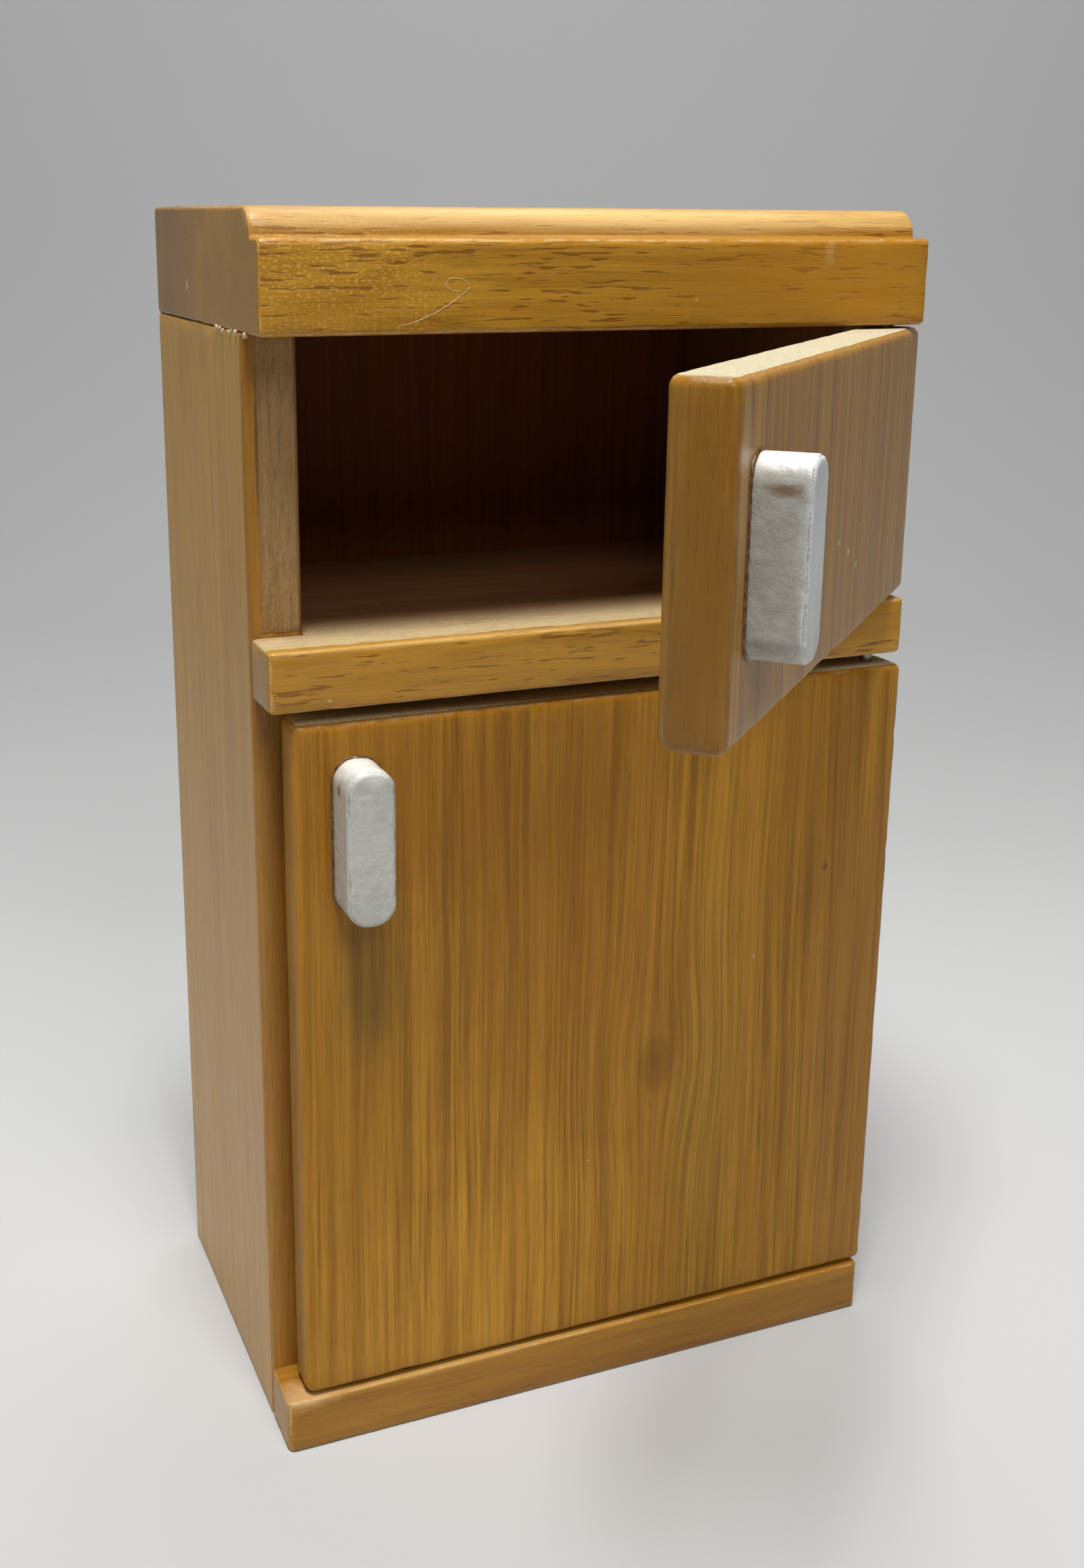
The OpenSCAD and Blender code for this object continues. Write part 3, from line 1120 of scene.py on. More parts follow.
LOWER_TINTS = (
    Patch((60.0, -29.5, -24.6), (13.0, 4.0, 30.0), (0.25, 0.155, 0.030), 0.50),
    Patch((40.0, 15.5, -24.6), (46.0, 5.5, 30.0), (0.50, 0.310, 0.032), 0.40),
    Patch((45.0, 38.0, -24.6), (52.0, 10.0, 30.0), (0.36, 0.175, 0.036), 0.60),
    Patch((15.0, -16.0, -24.6), (25.0, 24.0, 30.0), (0.70, 0.355, 0.040), 0.55),
    Patch((64.0, -2.0, -24.6), (34.0, 20.0, 30.0), (0.36, 0.150, 0.009), 0.45),
    Patch((82.0, -20.0, -24.6), (17.0, 20.0, 30.0), (0.37, 0.150, 0.007), 0.50),
)
LOWER_MARKS = (Patch((65.5, 31.1, -24.6), (0.6, 0.4, 2.0), BROWN, 0.9),)
SIDE_MARKS_AND_PAINTED_SHADOW = (
    Patch((155.0, -79.7, 2.6), (40.0, 1.4, 1.4), (0.31, 0.130, 0.005), 0.90),
    Patch((160.0, -78.7, 2.6), (9.0, 0.25, 0.9), (0.10, 0.040, 0.010), 0.75),
    # Darker lower front edge: painted shadow beside the lower door, over the darker lacquer there.
    Patch((100.0, -78.0, 2.5), (60.0, 2.4, 0.9), (0.26, 0.095, 0.008), 0.50),
)
UPPER_MARKS_AND_PAINTED_SHADE = (
    # Darker free end of the door: partly a deeper tone, partly painted shade.
    Patch((116.0, -38.0, -21.3), (40.0, 1.8, 9.0), (0.215, 0.088, 0.001), 0.86),
    Patch((122.0, -34.6, -24.6), (9.0, 2.0, 2.0), (0.66, 0.46, 0.24), 0.40),
    Patch((111.7, 2.6, -24.6), (0.35, 0.3, 2.0), WHITE, 0.9),
    Patch((110.0, 7.5, -24.6), (0.3, 0.5, 2.0), WHITE, 0.8),
    Patch((107.9, 11.8, -24.6), (0.4, 0.3, 2.0), WHITE, 0.9),
)
PAINT_MARKS_AND_PAINTED_LIGHT = (
    # Painted shade on the upper handle's left side, partly grubby paint.
    Patch((115.0, -33.4, 27.2), (14.0, 1.1, 5.0), (0.29, 0.265, 0.22), 0.75),
    # Painted light: the lower handle's left side made lighter.
    Patch((77.7, -33.3, 27.2), (14.0, 1.0, 5.0), (0.64, 0.61, 0.52), 0.65),
    # Painted highlights on the tops of both handles.
    Patch((125.4, -30.3, 27.3), (1.6, 5.0, 6.0), (0.90, 0.90, 0.86), 0.85),
    Patch((87.0, -30.3, 27.3), (2.0, 5.0, 6.0), (0.90, 0.90, 0.86), 0.85),
    Patch((122.3, -33.1, 27.6), (0.75, 0.8, 1.9), BROWN, 0.80),
    Patch((84.0, -33.1, 27.0), (0.8, 0.8, 0.6), BROWN, 0.85),
    Patch((77.7, -30.3, 30.2), (9.0, 4.0, 1.6), (0.53, 0.53, 0.48), 0.60),
    # Painted light: the upper handle's front face made bright and cool.
    Patch((116.1, -30.3, 30.3), (13.0, 4.5, 1.4), (0.80, 0.84, 0.84), 0.75),
)


class Finishes:
    """Every finish of the object, made once."""

    def __init__(self) -> None:
        """Builds the materials."""
        groups = Groups()
        made = {
            "boards": WoodFinish("lacquered_board", coat=0.30, patches=TOP_MARKS_AND_PAINTED_LIGHT, painted_glints=TOP_PAINTED_GLINTS),
            "base": WoodFinish("base_board_wood", light=(0.43, 0.205, 0.020), dark=(0.31, 0.132, 0.010),
                               fleck_share=0.15, roughness=0.38, specular=0.25, coat=0.15,
                               patches=BASE_MARKS),
            "sides": WoodFinish("side_panel_wood", light=(0.64, 0.345, 0.052), dark=(0.50, 0.250, 0.030),
                                specular=0.42, bare=(0.45, 0.275, 0.105), rim=(0.36, 0.14, 0.008),
                                patches=SIDE_MARKS_AND_PAINTED_SHADOW, stripe_width=3.4,
                                stripe_low=0.38, stripe_high=0.70, fleck_share=0.12, dust=0.02),
            "upper_door": WoodFinish("upper_door_wood", light=(0.50, 0.255, 0.032),
                                     dark=(0.25, 0.105, 0.009),
                                     bare=(0.76, 0.66, 0.43), rim=(0.44, 0.18, 0.010), stripe_width=1.5,
                                     fleck_share=0.15, wander=2.5, rub=0.12, specular=0.38, coat=0.15,
                                     streaks=0.5, depth=0.3, patches=UPPER_MARKS_AND_PAINTED_SHADE),
            "lower_door": WoodFinish("lower_door_wood", light=(0.48, 0.232, 0.020),
                                     dark=(0.245, 0.100, 0.007),
                                     bare=(0.76, 0.66, 0.43), rim=(0.46, 0.18, 0.010), stripe_width=1.9,
                                     stripe_low=0.34, stripe_high=0.69, fleck_share=0.08, wander=4.0,
                                     knot=(42.5, 7.9, 0.0), knot_size=1.8, depth=0.3, rub=0.18, dust=0.015,
                                     specular=0.2, coat=0.05, streaks=0.36, tints=LOWER_TINTS,
                                     patches=LOWER_MARKS),
            # Dark brown wood, darkened further as painted shade of the inside of the cupboard.
            "back": WoodFinish("back_panel_wood", light=(0.17, 0.048, 0.004), dark=(0.11, 0.026, 0.002),
                               end=(0.14, 0.06, 0.02), bare=(0.12, 0.05, 0.02), rim=(0.10, 0.03, 0.006),
                               stripe_width=3.0, fleck_share=0.3, roughness=0.6, coat=0.0, dust=0.0),
            "paint": PaintFinish(patches=PAINT_MARKS_AND_PAINTED_LIGHT),
            "wire": WireFinish(),
            "dowel": DowelFinish(),
            "brown_glue": GlueFinish("brown_glue", (0.20, 0.10, 0.04), (0.08, 0.03, 0.012)),
            "pale_glue": GlueFinish("pale_glue", (0.70, 0.56, 0.34), (0.52, 0.36, 0.16), 0.45),
        }
        self.made = {key: finish.build(groups) for key, finish in made.items()}

    def __getitem__(self, key: str) -> bpy.types.Material:
        """The material of that name."""
        return self.made[key]


# ---- the frame's sizes ---------------------------------------------------------------------------


def low_high(node: str) -> tuple[np.ndarray, np.ndarray]:
    """A CAD node's lowest and highest corners at rest, in metres."""
    low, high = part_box(node)
    return np.array(low), np.array(high)


def joint(name: str) -> dict:
    """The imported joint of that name."""
    return next(j for j in frame["record"]["behaviour"]["joints"] if j["name"] == name)


def settle(piece: bpy.types.Object, material: bpy.types.Material, body: Body, slot: str,
           *replaced: str) -> None:
    """Gives a new piece its material and its body, and hides the CAD nodes that it replaces.

    Args:
        piece: The new piece.
        material: Its finish.
        body: The body that it rides on.
        slot: The record's material slot. Not used.
        replaced: The CAD nodes that it replaces.
    """
    piece.data.materials.append(material)
    if replaced:
        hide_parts(*replaced)
    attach(piece, body.value)
    log.info("%s: %d faces, on %s", piece.name, len(piece.data.polygons), body.value)


CoatRule = Callable[[np.ndarray, np.ndarray], np.ndarray]


def fully_coated(points: np.ndarray, normals: np.ndarray) -> np.ndarray:
    """Lacquer everywhere."""
    return np.ones(len(points))


def not_at_all(points: np.ndarray, normals: np.ndarray) -> np.ndarray:
    """None anywhere."""
    return np.zeros(len(points))


def board_marks(surface: Surface, place: Place, grain: Axis, shift: Point,
                coat: CoatRule = fully_coated, dark: CoatRule = not_at_all) -> dict[str, np.ndarray]:
    """What a wood finish reads from a board.

    The board's own coordinates put x along the grain, y across the face and z through it, and are
    shifted so that no two boards are cut from the same place in the tree.

    Args:
        surface: The board's surface.
        place: What carries the board's own axes into the frame.
        grain: Which of the place's axes the grain follows.
        shift: How far the figure is shifted, in metres.
        coat: Gives 1 where lacquer lies and 0 where the wood is bare, from the points in the
            place's own axes and the normals in the same axes.
        dark: Gives 1 where painted shade darkens the wood, in the same way.

    Returns:
        The attributes by name.
    """
    axes = np.stack([place.u, place.v, place.w], axis=1)
    local = (surface.flat() - place.origin) @ axes
    facing = surface.facing() @ axes
    order = {Axis.ALONG_X: [0, 1, 2], Axis.ALONG_Y: [1, 0, 2], Axis.ALONG_Z: [2, 0, 1]}[grain]
    end = np.clip((np.abs(facing[:, order[0]]) - 0.55) / 0.35, 0.0, 1.0)
    return {
        "board": local[:, order] + np.array(shift),
        "rim": surface.arris(),
        "end": end,
        "coat": coat(local, facing),
        "dark": dark(local, facing),
    }


# ---- the cabinet ---------------------------------------------------------------------------------


@dataclass
class Cabinet:
    """The fixed boards: top board, side panels, shelf, base and back."""

    finishes: Finishes
    board_round: float = 0.8 * MM
    arris: float = 0.62 * MM
    end_arris: float = 0.45 * MM
    back_arris: float = 0.4 * MM
    band_height: float = 3.1 * MM
    band_back: float = 3.2 * MM
    band_round: float = 2.7 * MM
    cove: float = 0.35 * MM
    step: float = 1.5 * MM
    crumbs: int = 13

    def build(self) -> None:
        """Makes every board of the cabinet."""
        self.top_board()
        self.side_panel("left_side_panel", -1.0)
        self.side_panel("right_side_panel", 1.0)
        self.shelf_board("divider_shelf", "boards", 2.0, bare_top=True)
        self.shelf_board("base_board", "base", 3.0, bare_top=False)
        self.back_panel()
        self.glue_crumbs()
        self.glue_thread()
        self.hidden_pieces()

    def top_board(self) -> None:
        """The top board: its side view, with the stepped front edge, carried along X."""
        low, high = low_high("top_board")
        ledge = high[2] - self.band_height
        band = low[1] + self.band_back
        ring = outline([
            Corner(low[1], low[2], self.arris),
            Corner(high[1], low[2], self.arris),
            Corner(high[1], high[2], self.board_round),
            Corner(band, high[2], self.band_round),
            Corner(band, ledge, self.cove),
            Corner(low[1], ledge, self.board_round),
        ], self.step)
        surface = carried(ring, SIDE_VIEW, low[0], high[0], self.end_arris, self.end_arris,
                          self.step, Wear(0.12 * MM, 4.0 * MM, 1.3))
        marks = board_marks(surface, SIDE_VIEW, Axis.ALONG_Z, (0.0, 0.0, 0.0))
        piece = mesh_piece("moulded_top", surface, marks)
        settle(piece, self.finishes["boards"], Body.CABINET, "lacquered_wood", "top_board")

    def side_panel(self, node: str, side: float) -> None:
        """A side panel: its plan carried upwards, lacquered by one rule below, painted with shade by the
        other.

        Args:
            node: The CAD node.
            side: -1 on the left and 1 on the right.
        """
        low, high = low_high(node)
        ring = outline(rectangle(low, high, [self.arris] * 4), self.step)
        surface = carried(ring, PLAN, low[2], high[2], 0.2 * MM, 0.2 * MM, self.step,
                          Wear(0.08 * MM, 5.0 * MM, 2.0 + side))
        outer = high[0] if side > 0 else low[0]
        shelf_top = low_high("divider_shelf")[1][2]
        lacquer_reach = 1.4 * MM

        def coat(points: np.ndarray, normals: np.ndarray) -> np.ndarray:
            """Lacquer lies all over below the shelf. Above it, it reaches a little way round both
            upright edges from the outer face, so the rear edge is bare there as well as the front.

            Args:
                points: The points, in the place's own axes.
                normals: Their normals, in the same axes. Not used.

            Returns:
                1 where lacquer lies, down to 0 where the wood is bare.
            """
            from_outer = np.abs(points[:, 0] - outer)
            on_front = 0.5 + (lacquer_reach - from_outer) / (0.9 * MM)
            return np.where(points[:, 2] > shelf_top, np.clip(on_front, 0.0, 1.0), 1.0)

        def dark(points: np.ndarray, normals: np.ndarray) -> np.ndarray:
            """Painted shade on the inner face; on the front edge, painted shadow below the shelf and a thin
            dark line above.

            Args:
                points: The points, in the place's own axes.
                normals: Their normals, in the same axes.

            Returns:
                1 where painted shade darkens the wood, down to 0.
            """
            within = np.clip(-side * normals[:, 0], 0.0, 1.0)
            from_outer = np.abs(points[:, 0] - outer)
            ahead = np.clip(-normals[:, 1] * 1.4, 0.0, 1.0)
            # Painted shadow beside the lower door: below the shelf the front edge darkens, more so further
            # in.
            painted_door_shadow = ahead * (0.32 + np.clip((from_outer - 1.6 * MM) / (3.0 * MM), 0.0, 1.0) * 0.45)
            high_edge = ahead * np.clip(1.0 - from_outer / (1.8 * MM), 0.0, 1.0) * 0.30
            return np.maximum(within, np.where(points[:, 2] > shelf_top, high_edge, painted_door_shadow))

        marks = board_marks(surface, PLAN, Axis.ALONG_Z, (0.11 + 0.07 * side, 0.04 * side, 0.02), coat, dark)
        name = "left_side" if side < 0 else "right_side"
        piece = mesh_piece(name, surface, marks)
        settle(piece, self.finishes["sides"], Body.CABINET, "lacquered_wood", node)

    def shelf_board(self, node: str, finish: str, seed: float, bare_top: bool) -> None:
        """The shelf or the base: a full-width front strip and a tongue between the side panels.

        Args:
            node: The CAD node.
            finish: Its finish.
            seed: Makes its wear and figure its own.
            bare_top: Whether its top face is bare wood behind the front edge.
        """
        low, high = low_high(node)
        side_low, side_high = low_high("left_side_panel")
        tongue = -side_high[0]
        neck = side_low[1]
        tight = 0.15 * MM
        hidden = 0.65 * MM
        ring = outline([
            Corner(low[0], low[1], self.board_round),
            Corner(high[0], low[1], self.board_round),
            Corner(high[0], neck, hidden),
            Corner(tongue, neck, tight),
            Corner(tongue, high[1], hidden),
            Corner(-tongue, high[1], hidden),
            Corner(-tongue, neck, tight),
            Corner(low[0], neck, hidden),
        ], self.step)
        surface = carried(ring, PLAN, low[2], high[2], self.end_arris, self.end_arris, self.step,
                          Wear(0.10 * MM, 4.0 * MM, seed)).with_full_ends(PLAN, 1.6 * MM)
        front = low[1]

        def coat(points: np.ndarray, normals: np.ndarray) -> np.ndarray:
            """Lacquer on the front strip's faces, and bare wood on top further in.

            Args:
                points: The points, in the place's own axes.
                normals: Their normals, in the same axes.

            Returns:
                1 where lacquer lies, down to 0 where the wood is bare.
            """
            depth = points[:, 1] - front
            thin = np.clip(1.15 - depth / (2.4 * MM), 0.0, 1.0)
            return np.where((normals[:, 2] > 0.7) & bare_top, thin, 1.0)

        def dark(points: np.ndarray, normals: np.ndarray) -> np.ndarray:
            """Painted shade, darker with depth: from the neck inwards the board is as dark as the shaded
            inside.
            """
            depth = points[:, 1] - front
            return np.clip((depth - 4.5 * MM) / (9.5 * MM), 0.0, 1.0) * 0.92

        shift = (0.2 * seed, 0.03 * seed, 0.06 * seed)
        marks = board_marks(surface, PLAN, Axis.ALONG_X, shift, coat, dark)
        piece = mesh_piece(node + "_finished", surface, marks)
        settle(piece, self.finishes[finish], Body.CABINET, "lacquered_wood", node)

    def back_panel(self) -> None:
        """The back panel: a thin board between the side panels, dark brown, darkened further as painted
        shade of the inside.
        """
        low, high = low_high("back_panel")
        ring = outline(rectangle(low, high, [self.back_arris] * 4), 2.0 * self.step, 4)
        surface = carried(ring, PLAN, low[2], high[2], 0.15 * MM, 0.15 * MM, 2.0 * self.step, None, 4)
        marks = board_marks(surface, PLAN, Axis.ALONG_Z, (0.5, 0.2, 0.1))
        piece = mesh_piece("back_board", surface, marks)
        settle(piece, self.finishes["back"], Body.CABINET, "back_plywood", "back_panel")

    def glue_crumbs(self) -> None:
        """Dried crumbs of glue along the joint under the top board's left end.

        Each crumb is a small rough ball: r (1 + 0.3 ripple) in every direction.
        """
        low, _ = low_high("top_board")
        k = np.arange(self.crumbs)
        centres = np.stack([np.full(self.crumbs, low[0] + 0.03 * MM),
                            (-19.0 + 1.15 * k + 0.5 * np.sin(5.0 * k)) * MM,
                            low[2] - 0.10 * MM + 0.12 * MM * np.sin(3.0 * k)], axis=1)
        radii = (0.20 + 0.13 * np.sin(2.3 * k + 1.0)) * MM
        around, up = np.meshgrid(np.linspace(0.0, FULL_TURN, 13)[:-1], np.linspace(0.04, math.pi - 0.04, 9))
        ball = np.stack([np.sin(up) * np.cos(around), np.sin(up) * np.sin(around), -np.cos(up)], axis=-1)
        for i in k:
            rough = 1.0 + 0.3 * ripple(ball, 1.1, float(i))
            rings = Surface(centres[i] + ball * rough[..., None] * radii[i], ball, np.zeros(ball.shape[:2]))
            crumb = mesh_piece(f"glue_crumb_{i:02d}", rings, {})
            settle(crumb, self.finishes["pale_glue"], Body.CABINET, "lacquered_wood")

    def glue_thread(self) -> None:
        """A stray thread of glue on the top board's front: a thin tube along a looping path.

        The path runs smoothly through a few knots; a circle of the tube's radius stands square to
        it at every point, and the radius falls to nothing at both ends.
        """
        low, _ = low_high("top_board")
        knots = np.array([(-25.7, 132.9), (-23.4, 133.4), (-20.9, 134.4), (-18.6, 135.8), (-17.1, 137.0),
                          (-18.3, 137.8), (-19.6, 137.8), (-20.1, 137.1), (-19.2, 136.5), (-17.6, 136.4)])
        at = np.linspace(0.0, len(knots) - 1.0, 91)
        spread = 0.62
        weights = np.exp(-((at[:, None] - np.arange(len(knots))) / spread) ** 2)
        path = (weights / weights.sum(axis=1, keepdims=True)) @ knots * MM
        way = np.gradient(path, axis=0)
        way /= np.hypot(way[:, 0], way[:, 1])[:, None]
        square = np.stack([-way[:, 1], np.zeros(len(at)), way[:, 0]], axis=1)
        turn = np.linspace(0.0, FULL_TURN, 9)[:-1]
        radius = 0.036 * MM * np.clip(np.sin(math.pi * at / at[-1]) * 4.0, 0.05, 1.0)
        spokes = np.cos(turn)[None, :, None] * square[:, None] + np.sin(turn)[None, :, None] * -Y_AXIS
        centre = np.stack([path[:, 0], np.full(len(at), low[1]), path[:, 1]], axis=1)
        rings = Surface(centre[:, None] + spokes * radius[:, None, None], spokes, np.zeros(spokes.shape[:2]))
        thread = mesh_piece("glue_thread", rings, {})
        settle(thread, self.finishes["pale_glue"], Body.CABINET, "lacquered_wood")

    def hidden_pieces(self) -> None:
        """Dresses the dowels and the back panel's pins, whose CAD shapes stay."""
        for node in ("top_board_dowels", "shelf_dowels", "base_dowels"):
            dress(node, self.finishes["dowel"])
        dress("back_panel_pins", self.finishes["wire"])


def dress(node: str, material: bpy.types.Material) -> None:
    """Gives a kept CAD node a better material in each of its slots.

    Args:
        node: The CAD node.
        material: Its finish.
    """
    piece = frame["nodes"][node]
    if not piece.material_slots:
        piece.data.materials.append(material)
    for slot in piece.material_slots:
        slot.material = material
    log.info("%s: kept from the frame", node)


# ---- the doors -----------------------------------------------------------------------------------


@dataclass
class Door:
    """A door leaf with its handle, its glue line and its pins, built closed and then turned."""

    finishes: Finishes
    name: str
    body: Body
    low_z: float
    high_z: float
    opened: float
    pivot: Vector
    handle_z: float
    seed: float
    front_round: float = 1.15 * MM
    back_round: float = 2.6 * MM
    end_round: float = 1.0 * MM
    handle_corner: float = 2.5 * MM
    foot_corner: float = 2.7 * MM
    squeeze: float = 0.22 * MM
    step: float = 1.6 * MM

    def swing(self) -> Matrix:
        """The turn about the pivot that takes the closed door to its rest."""
        there, back = Matrix.Translation(self.pivot), Matrix.Translation(-self.pivot)
        return there @ Matrix.Rotation(self.opened, 4, "Z") @ back

    def build(self) -> None:
        """Makes the leaf and the handle, and dresses the pins."""
        self.leaf()
        self.handle()
        for end in ("top", "bottom"):
            dress(f"{self.name}_{end}_pin", self.finishes["wire"])

    def leaf(self) -> None:
        """The door board: its plan carried upwards. Its two sawn ends are bare wood."""
        low, high = low_high("lower_door")
        radii = [self.front_round, self.front_round, self.back_round, self.back_round]
        ring = outline(rectangle(low, high, radii), self.step, 10)
        place = PLAN.turned(self.swing())
        surface = carried(ring, place, self.low_z, self.high_z, self.end_round, self.end_round,
                          self.step, Wear(0.10 * MM, 4.5 * MM, self.seed))

        def coat(points: np.ndarray, normals: np.ndarray) -> np.ndarray:
            """No lacquer on the sawn ends."""
            return np.where(np.abs(normals[:, 2]) > 0.93, 0.0, 1.0)

        marks = board_marks(surface, place, Axis.ALONG_Z, (0.0, 0.0, 0.0), coat)
        piece = mesh_piece(self.name + "_leaf", surface, marks)
        settle(piece, self.finishes[self.name], self.body, "door_wood", self.name)

    def handle(self) -> None:
        """The block handle: an outline with round ends carried out from the door's face."""
        low, high = low_high("lower_handle")
        middle = (low + high) / 2.0
        half_w, half_h = (high[0] - low[0]) / 2.0, (high[2] - low[2]) / 2.0
        lowest = (middle[0] - half_w, self.handle_z - half_h)
        highest = (middle[0] + half_w, self.handle_z + half_h)
        ring = outline(rectangle(lowest, highest, [self.handle_corner] * 4), 0.6 * MM, 12)
        place = FRONT_VIEW.turned(self.swing())
        surface = carried(ring, place, -high[1], -low[1], 0.15 * MM, 0.6 * MM, 0.5 * MM,
                          Wear(0.10 * MM, 2.4 * MM, self.seed + 3.0), 8)
        marks = board_marks(surface, place, Axis.ALONG_Y, (0.0, 0.0, 0.0))
        node = self.name.replace("door", "handle")
        piece = mesh_piece(node + "_block", surface, marks)
        settle(piece, self.finishes["paint"], self.body, "white_paint", node)
        wider = rectangle([v - self.squeeze for v in lowest], [v + self.squeeze for v in highest],
                          [self.foot_corner] * 4)
        foot = outline(wider, 0.4 * MM, 12)
        bead = carried(foot, place, -high[1] - 0.05 * MM, -high[1] + 0.28 * MM, 0.02 * MM, 0.24 * MM,
                       0.1 * MM, Wear(0.25 * MM, 1.7 * MM, self.seed + 6.0))
        line = mesh_piece(self.name + "_glue_line", bead, {})
        settle(line, self.finishes["brown_glue"], self.body, "white_paint")


# ---- the studio ----------------------------------------------------------------------------------


@dataclass(frozen=True)
class Studio:
    """Floor, backdrop, lights and camera."""

    floor_half: float = 1.4
    near_end: float = -1.4
    sweep_start: float = 0.40
    sweep_radius: float = 0.50
    wall_height: float = 1.1
    camera_place: Point = (-0.084615, -0.195905, 0.143744)
    camera_turn: Point = (74.9818, -0.3376, -21.9063)
    lens: float = 39.371
    sensor: float = 36.0
    aim: Point = (0.0, 0.0, 0.05)
    room_strength: float = 0.05
    shift: tuple[float, float] = (0.0376, -0.0667)
    # The paper's grey along its run: painted light and shade, set for the falloff of light over floor and
    # wall.
    painted_falloff_tones: tuple[tuple[float, float], ...] = (
        (-0.25, 0.565), (-0.12, 0.57), (-0.02, 0.585), (0.06, 0.63), (0.12, 0.60), (0.19, 0.545),
        (0.30, 0.54), (0.45, 0.60), (0.70, 0.62), (0.85, 0.65), (1.05, 0.82),
    )

    def build(self) -> None:
        """Makes the camera, the sweep and the lights."""
        self.camera()
        self.sweep()
        self.lights()

    def camera(self) -> None:
        """A camera a little below the cupboard's top, to the left of its front."""
        data = bpy.data.cameras.new("studio_camera")
        data.lens = self.lens
        data.sensor_width = self.sensor
        data.shift_x, data.shift_y = self.shift
        data.clip_start, data.clip_end = 0.01, 20.0
        camera = bpy.data.objects.new("studio_camera", data)
        camera.location = self.camera_place
        camera.rotation_euler = [math.radians(a) for a in self.camera_turn]
        bpy.context.scene.collection.objects.link(camera)
        bpy.context.scene.camera = camera

    def sweep(self) -> None:
        """A paper sweep square to the camera: a flat floor that bends up into a wall.

        At the run s the paper lies flat at the distance s up to the bend's start; on the bend, at
        the angle a, it is at start + r sin a and r (1 - cos a) high; then it goes straight up. The
        run is kept on the mesh, for the painted light and shade of the paper.
        """
        bend_end = self.sweep_start + self.sweep_radius * math.pi / 2.0
        run = np.concatenate([np.linspace(self.near_end, self.sweep_start, 90)[:-1],
                              np.linspace(self.sweep_start, bend_end, 41),
                              np.linspace(bend_end, bend_end + self.wall_height, 12)[1:]])
        bent = np.clip((run - self.sweep_start) / self.sweep_radius, 0.0, math.pi / 2.0)
        away = np.minimum(run, self.sweep_start) + self.sweep_radius * np.sin(bent)
        height = self.sweep_radius * (1 - np.cos(bent)) + np.clip(run - bend_end, 0.0, None)
        across = np.linspace(-self.floor_half, self.floor_half, 25)
        heading = math.radians(self.camera_turn[2])
        ahead = np.array([-math.sin(heading), math.cos(heading), 0.0])
        beside = np.array([math.cos(heading), math.sin(heading), 0.0])
        points = (away[:, None, None] * ahead + across[None, :, None] * beside
                  + height[:, None, None] * Z_AXIS)
        index = np.arange(points.shape[0] * points.shape[1]).reshape(points.shape[:2])
        quads = np.stack([index[:-1, :-1], index[:-1, 1:], index[1:, 1:], index[1:, :-1]], axis=-1)
        mesh = bpy.data.meshes.new("paper_sweep")
        mesh.from_pydata(points.reshape(-1, 3), [], quads.reshape(-1, 4).tolist())
        layer = mesh.attributes.new("run", "FLOAT", "POINT")
        layer.data.foreach_set("value", np.repeat(run, len(across)).astype(np.float32))
        mesh.shade_smooth()
        mesh.materials.append(self.paper())
        sweep = bpy.data.objects.new("paper_sweep", mesh)
        bpy.context.scene.collection.objects.link(sweep)

    def paper(self) -> bpy.types.Material:
        """Pale matt grey paper, its grey set along its run as painted light and shade of the sweep.

        Returns:
            The material.
        """
        material = bpy.data.materials.new("paper")
        material.use_nodes = True
        g = Graph(material.node_tree)
        shader = next(n for n in material.node_tree.nodes if n.type == "BSDF_PRINCIPLED")
        low, high = self.painted_falloff_tones[0][0], self.painted_falloff_tones[-1][0]
        ramp = g.node("ShaderNodeValToRGB")
        g.feed(ramp.inputs[0], g.math("DIVIDE", g.sub(g.attribute("run"), low), high - low))
        ramp.color_ramp.interpolation = "B_SPLINE"
        while len(ramp.color_ramp.elements) < len(self.painted_falloff_tones):
            ramp.color_ramp.elements.new(0.5)
        for stop, (at, tone) in zip(ramp.color_ramp.elements, self.painted_falloff_tones):
            stop.position = (at - low) / (high - low)
            stop.color = (tone, tone, tone * 0.995, 1.0)
        g.feed(shader.inputs["Base Color"], ramp.outputs[0])
        shader.inputs["Roughness"].default_value = 0.85
        shader.inputs["Specular IOR Level"].default_value = 0.2
        return material

    def lights(self) -> None:
        """A soft light overhead, weaker ones behind, in front and to the left, and a grey room."""
        self.panel("overhead", (-0.11, -0.19, 0.78), self.aim, 0.20, 5.9)
        self.panel("behind", (0.12, 0.24, 0.78), self.aim, 0.35, 1.1)
        self.panel("front_fill", (0.05, -0.80, 0.78), self.aim, 0.35, 2.5)
        self.panel("left_fill", (-0.90, -0.12, 0.35), (0.0, 0.0, 0.06), 0.50, 0.50)
        world = bpy.data.worlds.new("room")
        world.use_nodes = True
        background = world.node_tree.nodes["Background"]
        background.inputs["Color"].default_value = (0.80, 0.82, 0.84, 1.0)
        background.inputs["Strength"].default_value = self.room_strength
        bpy.context.scene.world = world
        bpy.context.scene.view_settings.view_transform = "Standard"

    @staticmethod
    def panel(name: str, place: Point, target: Point, size: float, power: float) -> None:
        """A square soft light aimed at a point.

        Args:
            name: The light's name.
            place: Where it hangs, in metres.
            target: Where it aims.
            size: The length of its side.
            power: Its power in watts.
        """
        data = bpy.data.lights.new(name, "AREA")
        data.size = size
        data.energy = power
        lamp = bpy.data.objects.new(name, data)
        lamp.location = place
        aim = Vector(target) - Vector(place)
        lamp.rotation_euler = aim.to_track_quat("-Z", "Y").to_euler()
        bpy.context.scene.collection.objects.link(lamp)


# ---- everything in order -------------------------------------------------------------------------


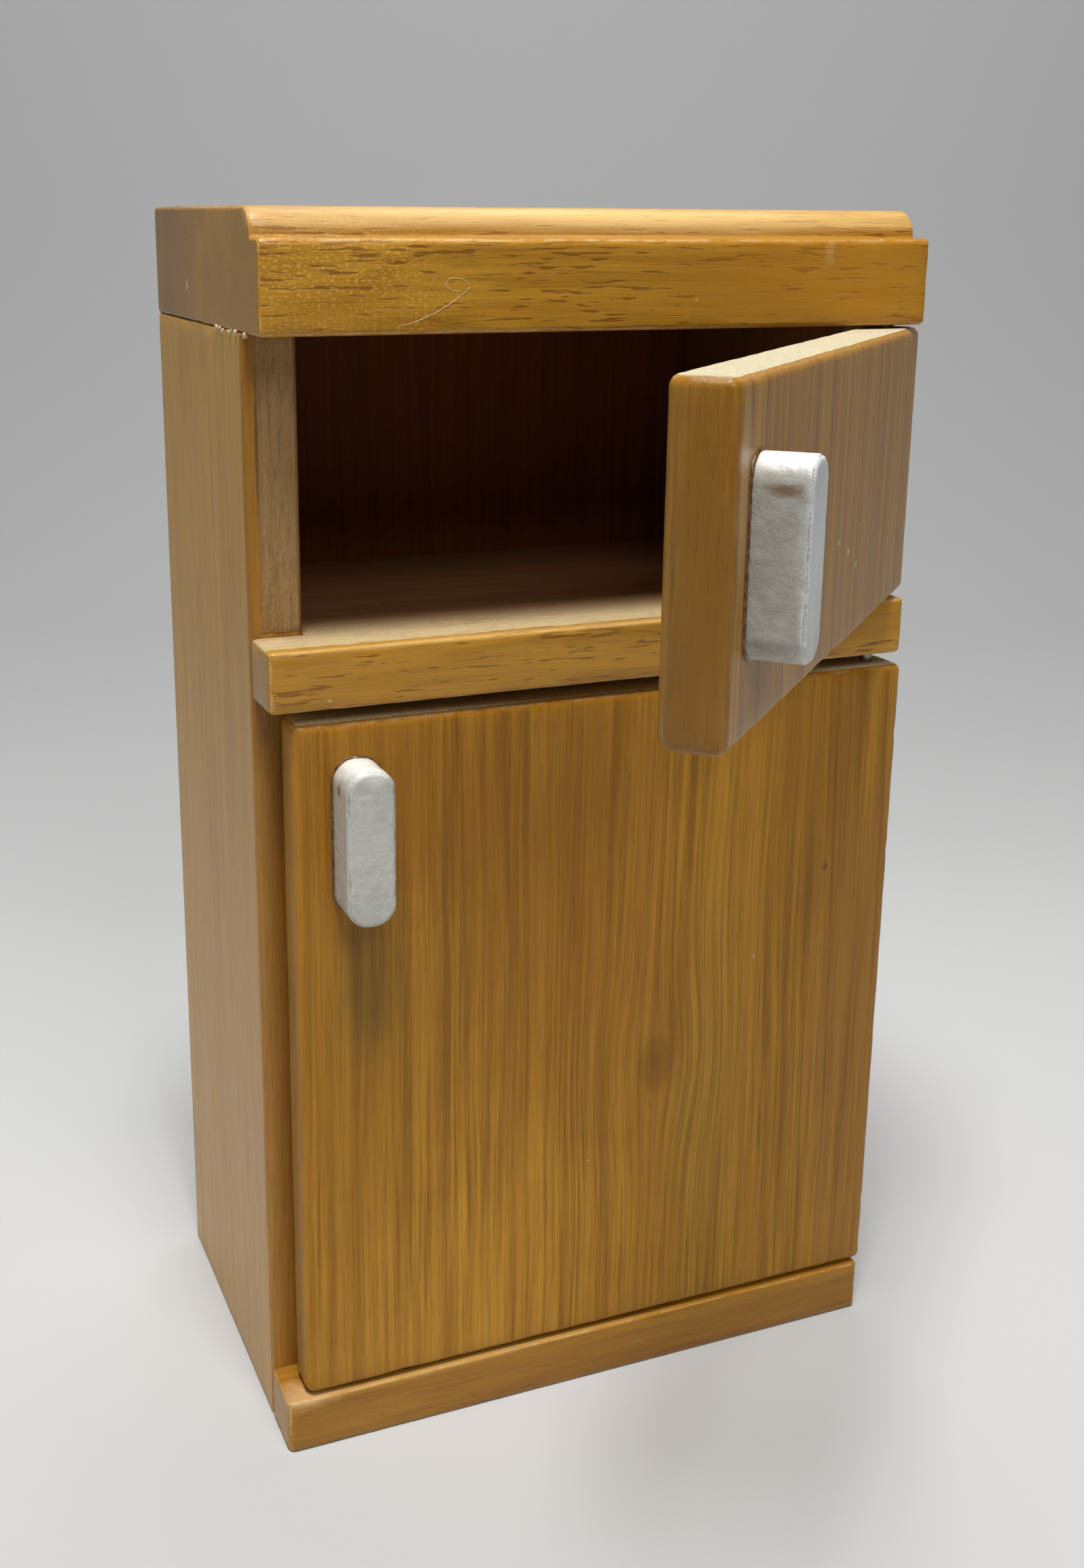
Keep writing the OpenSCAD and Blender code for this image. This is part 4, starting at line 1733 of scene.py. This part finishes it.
def build_doors(finishes: Finishes) -> None:
    """Makes both doors from the frame's boxes and joints.

    Args:
        finishes: The materials.
    """
    for name, body, seed in (("upper_door", Body.UPPER, 5.0), ("lower_door", Body.LOWER, 1.0)):
        hinge = joint(name + "_hinge")
        low, high = low_high(name)
        grip_low, grip_high = low_high(name.replace("door", "handle"))
        door = Door(finishes, name, body, low[2], high[2],
                    opened=math.radians(-hinge["range_deg"][0]), pivot=Vector(hinge["pos_m"]),
                    handle_z=(grip_low[2] + grip_high[2]) / 2.0, seed=seed)
        door.build()


def main() -> None:
    """Builds the cupboard in its studio."""
    studio = Studio()
    studio.build()
    finishes = Finishes()
    Cabinet(finishes).build()
    build_doors(finishes)


if __name__ == "__main__":
    main()
